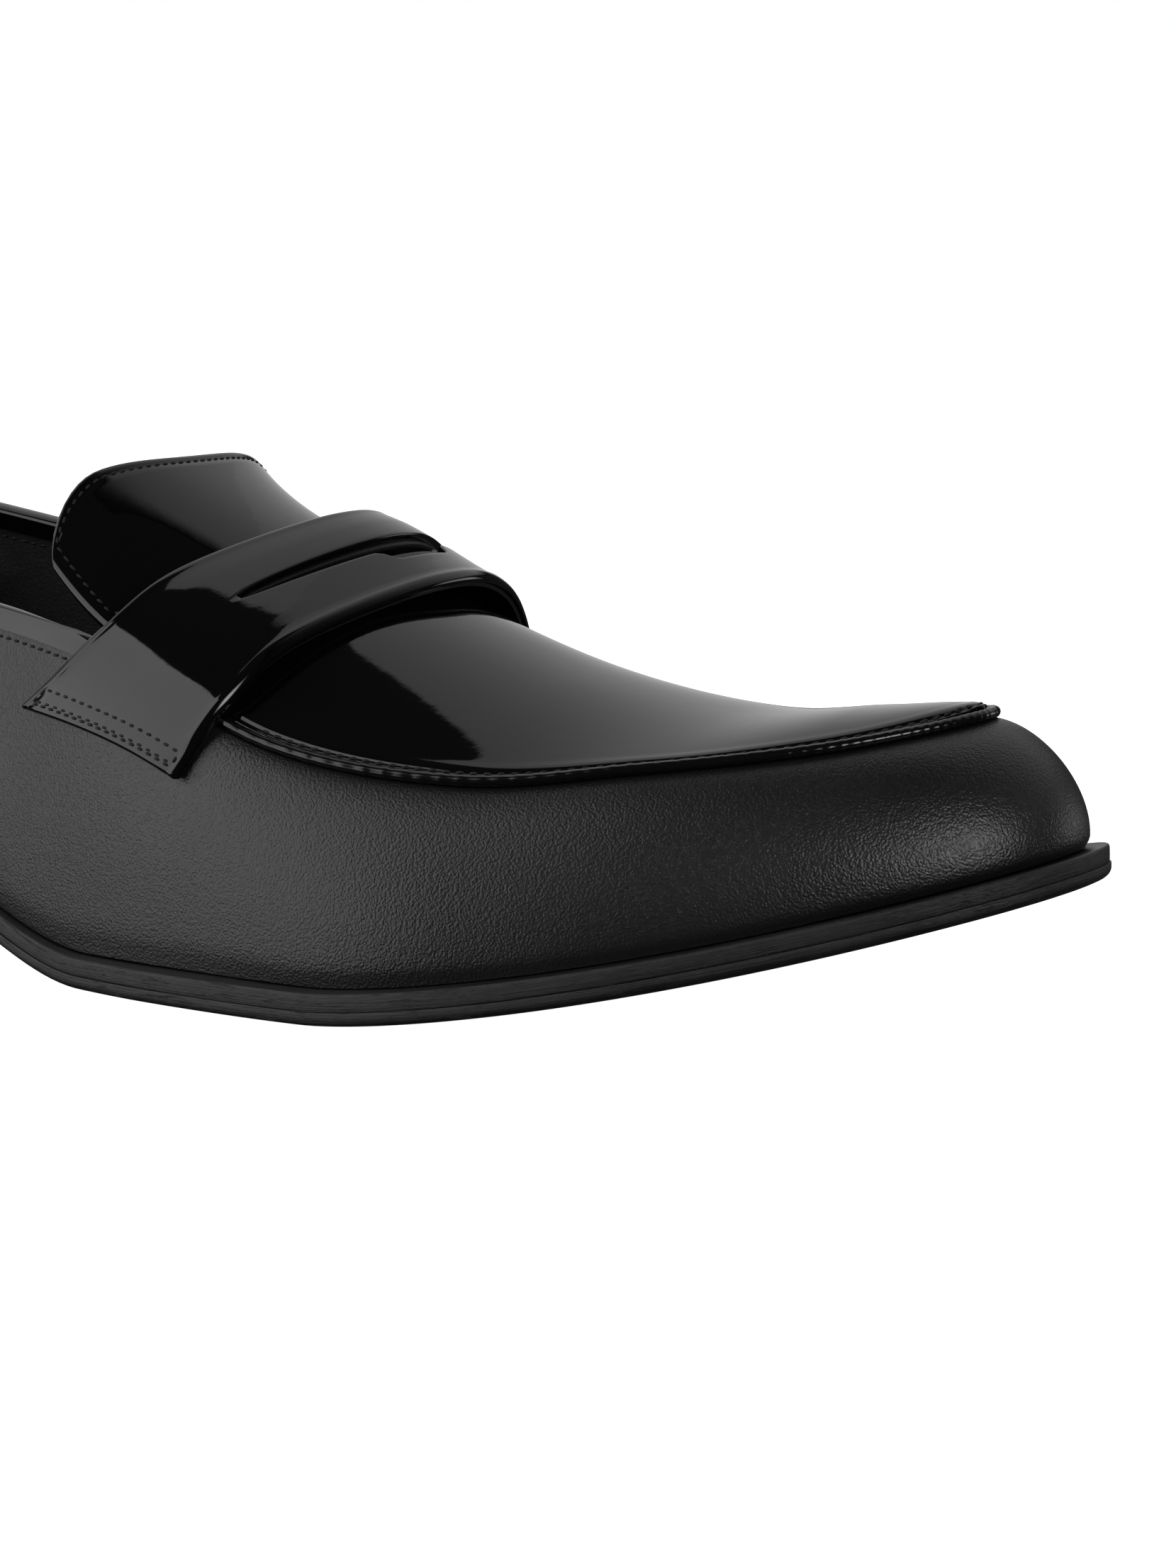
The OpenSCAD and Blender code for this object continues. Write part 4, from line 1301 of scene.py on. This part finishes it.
@dataclass
class StrapSet:
    """The saddle strap with its slot and sewn ends, and its lining."""

    form: StrapForm
    skin_t: float = 1.3
    lining_t: float = 0.9
    gap: float = 0.1
    roll: float = 1.2
    under_inset: float = 0.5
    under_roll: float = 0.25
    under_slot: float = 0.35
    low_row: float = 2.2
    second_row: float = 3.0
    high_row: float = 6.2
    side_row: float = 1.9
    row_half: float = 0.4
    row_depth: float = 0.2
    edge_puff: float = 0.22
    sink: float = 0.16

    def build(self, kit: Kit) -> None:
        """Makes both layers and the stitch boxes.

        Args:
            kit: The materials.
        """
        base = self.lining_t + self.gap
        upper = Piece("strap_patent", "patent_leather", ("strap",), sharp_deg=55)
        under = Piece("strap_under_layer", "lining_leather", ("strap_lining",), sharp_deg=55)
        self._layer(upper, kit.patent, base, self.skin_t, 0.0, self.roll)
        self._layer(under, kit.kid, 0.0, self.lining_t, self.under_inset, self.under_roll)
        self._stitches(kit, base + self.skin_t)

    def _layer(
        self, piece: Piece, material: Material, low: float, thick: float, inset: float, roll: float
    ) -> None:
        """Makes one layer of the strap.

        Args:
            piece: Its name, slot and node.
            material: Its material.
            low: Height of its underside over the strap form.
            thick: Its thickness.
            inset: Distance inside the strap's edges.
            roll: Radius of its rolled edges.
        """
        f = self.form
        length = f.arc - 2 * inset
        q = (inset + lines_from_edges(length, ROLL_NEAR, 0.8)) / f.arc
        rows = len(q)
        width = f.width(q) - 2 * inset
        rear_lip, front_lip = f.lips(q)
        if low == 0:
            rear_lip, front_lip = (f.lip + (x - f.lip) * self.under_slot for x in (rear_lip, front_lip))
        near = np.array(ROLL_NEAR)
        lip_near = np.array([1.2, 0.7, 0.4, 0.2, 0.08, 0.0])
        rear_w, front_w = width / 2 - rear_lip, width / 2 - front_lip
        bands = []
        for total in (rear_w, front_w):
            middle = mix(near[-1], (total - lip_near[0])[:, None], np.linspace(0, 1, 9)[None, 1:-1])
            from_lip = total[:, None] - lip_near[None]
            bands.append(np.concatenate([near[None] + 0 * total[:, None], middle, from_lip], 1))
        across = np.concatenate([bands[0], width[:, None] - bands[1][:, ::-1]], 1)
        cols, lip_col = across.shape[1], bands[0].shape[1] - 1
        side = np.minimum(across, width[:, None] - across)
        end = (np.minimum(q, 1 - q) * f.arc - inset)[:, None] + 0 * across
        by_side, by_end = (np.clip(roll - x, 0, roll) / roll for x in (side, end))
        fall = 1 - np.sqrt(np.clip(1 - by_side**2 - by_end**2, 0, 1))
        depth = roll * fall * min(1.0, (thick - 0.02) / roll)
        in_slot = np.abs(q - f.slot_q) * f.arc < f.slot_l / 2
        open_share = np.sqrt(np.maximum(0, 1 - (np.abs(q - f.slot_q) * f.arc / (f.slot_l / 2)) ** 2))
        lip_gap = np.concatenate([rear_w[:, None] - bands[0], (front_w[:, None] - bands[1])[:, ::-1]], 1)
        depth = depth + edge_roll(lip_gap, 0.35) * open_share[:, None]
        if roll > 0.5:
            ends = np.minimum(q, 1 - q)[:, None] * f.arc + 0 * across
            half = self.row_half
            sewn = ridge(ends, self.low_row, half) + ridge(ends, self.high_row, half)
            box = ridge(side, self.side_row, half) * (ends < self.high_row + half / 2)
            depth = depth + self.row_depth * np.clip(sewn * (side > self.side_row - half / 2) + box, 0, 1)
            depth = depth - self.edge_puff * ridge(side, 1.6, 0.6) * smooth(6, 12, ends)
        k = (inset + across) / f.width(q)[:, None]
        qq = q[:, None] + 0 * k
        skin, normal = f.skin(qq, k), f.normal(qq, k)
        outer = skin + normal * (low + thick - depth)[..., None]
        inner = skin + normal * low

        def open_cell(i: int, j: int) -> bool:
            """True inside the slot."""
            return j == lip_col and bool(in_slot[i] and in_slot[i + 1])

        make_sheet(piece, outer, inner, material, open_cell)

    def _stitches(self, kit: Kit, height: float) -> None:
        """Sews a box at each end of the strap, its lower row doubled."""
        f = self.form
        low, high, side = self.low_row, self.high_row, self.side_row
        rows = (
            (low, low, side, -side),
            (self.second_row, self.second_row, low, -low),
            (high, high, side, -side),
            (low, high, side, side),
            (low, high, -side, -side),
        )
        verts, faces = np.zeros((0, 3)), []
        t = np.linspace(0, 1, 80)
        for start, sign in ((0.0, 1), (1.0, -1)):
            for near, far, first, last in rows:
                q = start + sign * mix(near, far, t) / f.arc
                width = f.width(q)
                first, last = (x if x > 0 else width + x for x in (first, last))
                k = mix(first, last, t) / width
                n = f.normal(q, k)
                path = f.skin(q, k) + n * (height - self.sink)
                more, more_faces = StitchRow(pitch=1.95, width=0.5).build(path, n, len(verts))
                verts = np.concatenate([verts, more])
                faces += more_faces
        make_piece(Piece("strap_stitches", "patent_leather"), verts, faces, kit.thread)


@dataclass
class TongueSet:
    """The patent tongue and its lining, sewn together round the free edge."""

    form: TongueForm
    skin_t: float = 1.3
    lining_t: float = 0.9
    gap: float = 0.1
    roll: float = 0.9
    under_roll: float = 0.3
    reach: float = 31.5
    half_w: float = 37.0
    row: float = 1.9
    sink: float = 0.16

    def build(self, kit: Kit) -> None:
        """Makes both layers and the stitch row.

        Args:
            kit: The materials.
        """
        upper = Piece("tongue_patent", "patent_leather", ("tongue",), Body.FLAP, 60)
        under = Piece("tongue_under_layer", "lining_leather", ("tongue_lining",), Body.FLAP, 60)
        self._layer(upper, kit.patent, 0.0, self.skin_t, self.roll)
        self._layer(under, kit.kid, self.skin_t + self.gap, self.lining_t, self.under_roll)
        self._stitches(kit)

    def _across(self) -> Array:
        """Lines across the tongue, crowded at its sides."""
        return lines_from_edges(2.0, tuple(x / 40 for x in ROLL_NEAR), 0.05) - 1

    def _layer(self, piece: Piece, material: Material, depth: float, thick: float, roll: float) -> None:
        """Makes one layer of the tongue.

        Args:
            piece: Its name, slot and node.
            material: Its material.
            depth: How deep its upper face lies under the tongue form.
            thick: Its thickness.
            roll: Radius of its rolled edge.
        """
        f, w = self.form, self._across()
        from_end = np.concatenate([ROLL_NEAR, np.linspace(ROLL_NEAR[-1], self.reach, 30)[1:]])
        a = 1 - from_end[::-1] / self.reach
        inset = 0.01 if depth else 0.0
        aa = (mix(inset, 1 - inset, a))[:, None] + 0 * w[None]
        ww = (w * (1 - inset))[None] + 0 * aa
        end = from_end[::-1][:, None] + 0 * ww
        side = (1 - np.abs(w))[None] * self.half_w + 0 * aa
        rim = np.minimum(end, side)
        fall = edge_roll(rim, roll) * min(1.0, (thick - 0.05) / roll)
        if not depth:
            fall = fall + 0.22 * ridge(rim, self.row, 0.34) * (a[:, None] > 0.05)
        skin, normal = f.skin(aa, ww), f.normal(aa, ww)
        outer = skin - normal * (depth + fall)[..., None]
        inner = skin - normal * (depth + thick)
        make_sheet(piece, outer, inner, material, blend=True)

    def _stitches(self, kit: Kit) -> None:
        """Sews the row along both sides and the free end."""
        f = self.form
        side, end = 1 - self.row / self.half_w, 1 - self.row / self.reach
        up, over = np.linspace(0.12, end, 120), np.linspace(-side, side, 260)
        a = np.concatenate([up, np.full_like(over, end), up[::-1]])
        w = np.concatenate([np.full_like(up, -side), over, np.full_like(up, side)])
        n = f.normal(a, w)
        path = f.skin(a, w) - n * self.sink
        verts, faces = StitchRow(pitch=2.0, width=0.46).build(path, n)
        piece = Piece("tongue_stitches", "patent_leather", (), Body.FLAP)
        make_piece(piece, verts, faces, kit.thread, blend=True)


@dataclass
class SoleSet:
    """Outsole, welt, heel stack, sock liner and heel pad."""

    last: Last
    outsole_t: float = 2.5
    welt_t: float = 3.0
    step: float = 0.3
    insole_top: float = 9.3
    sock_t: float = 1.2
    pad_t: float = 2.6
    top_t: float = 6.0
    lift_t: float = 5.0
    breast: float = 33.0
    sock_inset: float = 4.8
    pad_inset: float = 10.6
    pad_front: float = 38.5
    pad_slope: tuple[float, float] = (26.0, 44.0)
    layer_step: float = 0.5
    count: int = 440

    def build(self, kit: Kit) -> None:
        """Makes every part of the bottom.

        Args:
            kit: The materials.
        """
        self._outsole(kit)
        self._welt(kit)
        self._heel(kit)
        self._sock(kit)
        self._pad(kit)

    def _ring(
        self, profile: Sequence[tuple[float, float]], out: Callable[[Array], Array]
    ) -> tuple[Array, Array]:
        """Sections round the outline.

        Args:
            profile: Offset inside the edge and height of each point.
            out: How far the edge stands out of the feather line.

        Returns:
            Vertices and their run coordinates.
        """
        u = np.arange(self.count) * self.last.count / self.count
        rows, runs = [], []
        for inside, height in profile:
            p = self.last.outline(u, lambda x: out(x) - inside)
            p[:, 2] = self.last.ground_z(p[:, 0]) + height
            rows.append(p)
            runs.append(np.column_stack([u / self.last.count * 640, np.full_like(u, height)]))
        return np.stack(rows, 1), np.stack(runs, 1).reshape(-1, 2)

    def _filled(self, ring: Array, runs: Array, low: int, high: int) -> tuple[Array, Faces, Array]:
        """Closes a ring's middle, above and below.

        Args:
            ring: Sections round the outline.
            runs: Their run coordinates.
            low, high: Columns of the lower and upper inner edges.

        Returns:
            Vertices, faces and run coordinates.
        """
        n, m = ring.shape[:2]
        verts = [ring.reshape(-1, 3)]
        faces = [f for f in sweep_faces(n, m, True) if {x % m for x in f} != {low, high}]
        base, parts = n * m, 10
        for column in (low, high):
            lift = ring[0, column, 2] - self.last.ground_z(ring[0, column, 0])
            grid = []
            for i in range(n // 2 + 1):
                a, b = ring[i, column], ring[-i % n, column]
                p = mix(a, b, np.linspace(0, 1, parts + 1)[:, None])
                p[:, 2] = self.last.ground_z(p[:, 0]) + lift
                grid.append(p)
            verts.append(np.concatenate(grid))
            faces += grid_faces(n // 2 + 1, parts + 1, base)
            base += len(verts[-1])
        points = np.concatenate(verts)
        more = points[len(runs):, :2]
        return points, faces, np.concatenate([runs, more])

    def _outsole(self, kit: Kit) -> None:
        """Makes the leather outsole with a rounded lower edge."""
        t = self.outsole_t
        foot = [(14, 0.0), (6, 0.0), (2.4, 0.0), (1.5, 0.05), (0.85, 0.2), (0.4, 0.5), (0.12, 0.9), (0, 1.35)]
        profile = foot + [(0.02, t - 0.2), (0.08, t - 0.06), (0.22, t - 0.01), (1.2, t), (14, t)]
        ring, runs = self._ring(profile, lambda x: self.last.edge_out(x) + self.step)
        verts, faces, runs = self._filled(ring, runs, 0, len(profile) - 1)
        piece = Piece("leather_outsole", "sole_leather", ("outsole",), sharp_deg=45)
        make_piece(piece, verts, faces, kit.edge, MERGE, runs)

    def _welt(self, kit: Kit) -> None:
        """Makes the welt with a trimmed edge and a soft upper corner."""
        a, b = self.outsole_t, self.outsole_t + self.welt_t
        low = [(9.4, a + 0.02), (0.35, a + 0.02), (0.06, a + 0.06), (0, a + 0.25), (0, a + 1.0)]
        corner = [(0.05, b - 0.7), (0.14, b - 0.3), (0.4, b - 0.06), (0.8, b)]
        profile = low + corner + [(2.0, b + 0.04), (3.2, b + 0.02), (5.0, b), (9.4, b)]
        ring, runs = self._ring(profile, self.last.edge_out)
        faces = sweep_faces(self.count, len(profile), True)
        piece = Piece("storm_welt", "sole_leather", ("welt",), sharp_deg=45)
        make_piece(piece, ring, faces, kit.edge, runs=runs)

    def _heel(self, kit: Kit) -> None:
        """Makes the three lifts and the top piece of the heel."""
        piece = Piece("heel_top_piece", "top_piece_rubber", ("top_piece",))
        self._block(piece, kit.rubber, 0.0, self.top_t, 4)
        for i in (1, 2, 3):
            low = self.top_t + (i - 1) * self.lift_t
            piece = Piece(f"heel_lift_layer_{i}", "heel_leather", (f"heel_lift_{i}",))
            self._block(piece, kit.edge, low, low + self.lift_t, 4 - i)

    def _block(self, piece: Piece, material: Material, low: float, high: float, steps: int) -> None:
        """Makes one layer of the heel with eased edges.

        Args:
            piece: Its name, slot and node.
            material: Its material.
            low, high: Its heights.
            steps: How many steps it sits inside the outsole's edge.
        """
        u = np.linspace(-3.05, 3.05, 181)
        base = 0.5 if low == 0 else 0.12
        profile = [(base, low), (base * 0.3, low + base * 0.3), (0, low + base)]
        profile += [(0, high - 0.25), (0.06, high - 0.08), (0.18, high)]
        rings = []
        for inside, z in profile:
            p = self.last.outline(u, lambda x: self.last.edge_heel - steps * self.layer_step - inside + 0 * x)
            p[:, 0] = np.minimum(p[:, 0], self.breast - steps * self.layer_step - inside)
            p[:, 2] = z
            rings.append(p)
        n, m = len(u), len(profile)
        verts = np.concatenate(rings)
        runs = np.column_stack([np.tile(u * 30, m), verts[:, 2]])
        faces = grid_faces(m, n, ring=True)
        faces += [tuple(range(n)), tuple((m - 1) * n + j for j in range(n))]
        make_piece(piece, verts, faces, material, runs=runs)

    def _rise(self, x: Array) -> Array:
        """Height that the heel pad adds under the sock liner."""
        return self.pad_t * (1 - smooth(*self.pad_slope, x))

    def _sock(self, kit: Kit) -> None:
        """Makes the sock liner, which lies over the insole and the heel pad."""
        low, t = self.insole_top + 0.1, self.sock_t
        profile = [(14, low), (0.4, low), (0.08, low + 0.3), (0, low + 0.7)]
        profile += [(0.2, low + t - 0.08), (0.7, low + t), (14, low + t)]
        ring, runs = self._ring(profile, lambda x: -self.sock_inset + 0 * x)
        verts, faces, runs = self._filled(ring, runs, 0, len(profile) - 1)
        verts[:, 2] += self._rise(verts[:, 0])
        piece = Piece("leather_sock", "lining_leather", ("sock_liner",))
        make_piece(piece, verts, faces, kit.sock, MERGE, runs)

    def _pad(self, kit: Kit) -> None:
        """Makes the crowned foam pad under the heel."""
        u = np.linspace(-3.15, 3.15, 121)
        rim = self.last.outline(u, lambda x: -self.pad_inset + 0 * x)
        rim[:, 0] = np.minimum(rim[:, 0], self.pad_front)
        centre = np.array([4.0, 0.0, 0.0])
        shares = np.concatenate([1 - np.array([0, 0.006, 0.02, 0.045, 0.08]), np.linspace(0.84, 0.0, 12)])
        grids = []
        for side in (1, 0):
            for s in shares if side else shares[::-1]:
                p = mix(centre, rim, s)
                low = self.last.ground_z(p[:, 0]) + self.insole_top + 0.12
                thick = np.maximum(0.15, self._rise(p[:, 0]) - 0.15)
                swell = math.sqrt(max(0.0, 1 - s**14))
                p[:, 2] = low + thick * (mix(0.5, 1.0, swell) if side else mix(0.5, 0.0, swell))
                grids.append(p)
        n, m = len(u), len(grids)
        faces = grid_faces(m, n, ring=True, tube=True)
        piece = Piece("heel_foam_pad", "foam", ("heel_pad",))
        pad = make_piece(piece, np.concatenate(grids), faces, kit.foam, MERGE)


# ------------------------------------------------------------------ the studio
WHITE = (1, 1, 1, 1)


def stand(name: str, points: list, faces: Faces) -> bpy.types.Object:
    """Makes an object of the studio from points in metres."""
    mesh = bpy.data.meshes.new(name)
    mesh.from_pydata(points, [], faces)
    obj = bpy.data.objects.new(name, mesh)
    bpy.context.scene.collection.objects.link(obj)
    return obj


def bare_paint(name: str, mesh: bpy.types.Mesh) -> Sketch:
    """Gives a mesh a material with no shader yet.

    Args:
        name: The material's name.
        mesh: What it covers.

    Returns:
        A sketch on the material's tree.
    """
    material = bpy.data.materials.new(name)
    material.use_nodes = True
    mesh.materials.append(material)
    material.node_tree.nodes.remove(material.node_tree.nodes["Principled BSDF"])
    return Sketch(material.node_tree)


def show_to_camera(s: Sketch, seen: Node, dim: Node, output: str) -> None:
    """Shows one shader to the camera and another to reflections.

    Args:
        s: The tree.
        seen: Shader that the camera sees.
        dim: Shader for everything else.
        output: Name of the tree's output node.
    """
    ray = s.add("LightPath").outputs["Is Camera Ray"]
    out = s.add("MixShader", None, i0=ray, i1=dim.outputs[0], i2=seen.outputs[0])
    s.tree.links.new(out.outputs[0], s.tree.nodes[output].inputs[0])


@dataclass(frozen=True)
class Panel:
    """A curved soft box, given by the directions it fills round the shoe.

    Bearing 0 is the inner side and 90 the toe; the fades are shares at the left, right, low and high edges.
    """

    name: str
    bearing: tuple[float, float]
    height: tuple[float, float]
    glow: float
    fade: tuple[float, float, float, float]


@dataclass
class Studio:
    """Pale floor, soft boxes, backdrop and the camera."""

    azimuth: float = 27.001
    elevation: float = 8.498
    distance: float = 0.69983
    aim: tuple[float, float, float] = (0.164, 0.0, 0.031)
    lens: float = 95.73
    shift: tuple[float, float] = (0.01956, 0.00814)
    radius: float = 3.0
    middle: tuple[float, float, float] = (0.13, 0.0, 0.04)
    floor_half: float = 6.0
    floor_low: float = -0.0003
    panels: tuple[Panel, ...] = (
        Panel("inner_window", (-104.0, -12.0), (-4.0, 69.0), 0.58, (0.12, 0.0, 0.01, 0.02)),
        Panel("inner_step_box", (-12.0, 92.0), (14.0, 74.0), 0.52, (0.0, 0.75, 0.15, 0.12)),
        Panel("inner_low_box", (20.0, 56.0), (-8.0, 13.5), 1.4, (0.3, 0.3, 0.2, 0.3)),
        Panel("heel_side_box", (-166.0, -104.0), (-22.0, 57.0), 1.85, (0.04, 0.1, 0.1, 0.02)),
        Panel("toe_side_box", (98.0, 138.0), (0.0, 34.0), 6.6, (0.4, 0.4, 0.3, 0.4)),
    )

    def build(self) -> None:
        """Sets the floor, backdrop, lights and camera."""
        self._floor()
        self._backdrop()
        for panel in self.panels:
            self._panel(panel)
        self._camera()

    def _floor(self) -> None:
        """Makes the pale floor."""
        half, low = self.floor_half, self.floor_low
        corners = [(x * half, y * half, low) for x, y in ((-1, -1), (1, -1), (1, 1), (-1, 1))]
        floor = stand("pale_floor", corners, [(0, 1, 2, 3)])
        floor.visible_glossy = False
        s = bare_paint("pale_floor_paint", floor.data)
        paint = s.add("BsdfDiffuse", None, Color=(*grey(0.75), 1))
        dim = s.add("BsdfDiffuse", None, Color=(*grey(0.1), 1))
        glow = s.add("Emission", None, Color=WHITE, Strength=1.0)
        seen = s.add("AddShader", None, i0=paint.outputs[0], i1=glow.outputs[0])
        show_to_camera(s, seen, dim, "Material Output")

    def _backdrop(self) -> None:
        """Sets a white surround for the eye and a dim one for reflections."""
        world = bpy.data.worlds.new("white_surround")
        bpy.context.scene.world = world
        world.use_nodes = True
        s = Sketch(world.node_tree)
        dim = world.node_tree.nodes["Background"]
        dim.inputs[0].default_value, dim.inputs[1].default_value = WHITE, 0.03
        show_to_camera(s, s.add("Background", None, Color=WHITE, Strength=1.0), dim, "World Output")

    def _panel(self, panel: Panel) -> None:
        """Hangs one soft box, which fades towards its edges."""
        cols, rows = 25, 17
        x, y = np.meshgrid(np.linspace(0, 1, cols), np.linspace(0, 1, rows))
        turn = np.radians(mix(*panel.bearing, x))
        rise = np.radians(mix(*panel.height, y))
        way = np.stack([np.sin(turn) * np.cos(rise), np.cos(turn) * np.cos(rise), np.sin(rise)], -1)
        points = (way * self.radius + np.array(self.middle)).reshape(-1, 3)
        box = stand(panel.name, points.tolist(), grid_faces(rows, cols))
        box.visible_camera = False
        spots = np.stack([x, y], -1).reshape(-1, 2)
        layer = box.data.uv_layers.new(name="run")
        for loop in box.data.loops:
            layer.data[loop.index].uv = spots[loop.vertex_index]
        s = bare_paint(panel.name + "_cloth", box.data)
        run = s.add("SeparateXYZ", None, Vector=s.add("UVMap", {"uv_map": "run"}).outputs[0])
        strength: Socket | float = panel.glow
        left, right, low, high = panel.fade
        soft = {"interpolation_type": "SMOOTHSTEP"}
        for axis, edge, full in ((0, 0.0, left), (0, 1.0, 1.0 - right), (1, 0.0, low), (1, 1.0, 1.0 - high)):
            if edge != full:
                step = s.add("MapRange", soft, i0=run.outputs[axis], i1=edge, i2=full, i3=0.0, i4=1.0)
                strength = s.math("MULTIPLY", strength, step.outputs[0])
        shine = s.add("Emission", None, Color=WHITE, Strength=strength)
        s.tree.links.new(shine.outputs[0], s.tree.nodes["Material Output"].inputs[0])

    def _camera(self) -> None:
        """Sets the camera at the viewing angle."""
        a, e = math.radians(self.azimuth), math.radians(self.elevation)
        back = Vector((math.sin(a) * math.cos(e), -math.cos(a) * math.cos(e), math.sin(e)))
        right = Vector((math.cos(a), math.sin(a), 0))
        up = back.cross(right)
        data = bpy.data.cameras.new("camera")
        data.sensor_fit = "VERTICAL"
        data.sensor_height = 36
        data.lens = self.lens
        data.shift_x, data.shift_y = self.shift
        data.clip_start, data.clip_end = 0.01, 50
        camera = bpy.data.objects.new("camera", data)
        bpy.context.scene.collection.objects.link(camera)
        turn = Matrix((right, up, back)).transposed().to_4x4()
        camera.matrix_world = Matrix.Translation(Vector(self.aim) + back * self.distance) @ turn
        bpy.context.scene.camera = camera
        bpy.context.scene.view_settings.view_transform = "Standard"


def dress_hidden_parts(shop: Shop) -> None:
    """Gives the CAD parts that stay their own materials."""
    finishes = {
        "cork_filler": CORK,
        "shank": STEEL,
        "insole": BOARD,
        "top_piece_nails": BRASS,
        "heel_nails": STEEL,
        "toe_puff": CANVAS_STIFF,
        "heel_counter": CANVAS_STIFF,
        "plug_lining": LINING_LEATHER,
    }
    made: dict[str, Material] = {}
    for node, finish in finishes.items():
        material = made.get(finish.name) or shop.make(finish)
        made[finish.name] = material
        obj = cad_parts[node]
        for slot in obj.material_slots:
            slot.material = material
        if not obj.material_slots:
            obj.data.materials.append(material)
        log.info("%s: CAD part dressed as %s", node, finish.name)


def main() -> None:
    """Builds the loafer's looks in order, then the studio."""
    logging.basicConfig(level=logging.INFO, format="%(name)s %(message)s")
    shop = Shop()
    last = Last()
    plug = PlugForm(last)
    outside = (BOX_LEATHER, PATENT, BEAD_PATENT, LINING_LEATHER, THREAD)
    bottom = (EDGE_DRESSING, TOP_RUBBER, SOCK_LEATHER, LATEX_FOAM)
    kit = Kit(*(shop.make(finish) for finish in outside + bottom))
    LeatherUpper(last).build(kit)
    PlugSet(last, plug).build(kit)
    Topline(last).build(kit)
    StrapSet(StrapForm(last, plug)).build(kit)
    TongueSet(TongueForm(last, plug)).build(kit)
    SoleSet(last).build(kit)
    dress_hidden_parts(shop)
    Studio().build()


if __name__ == "__main__":
    main()
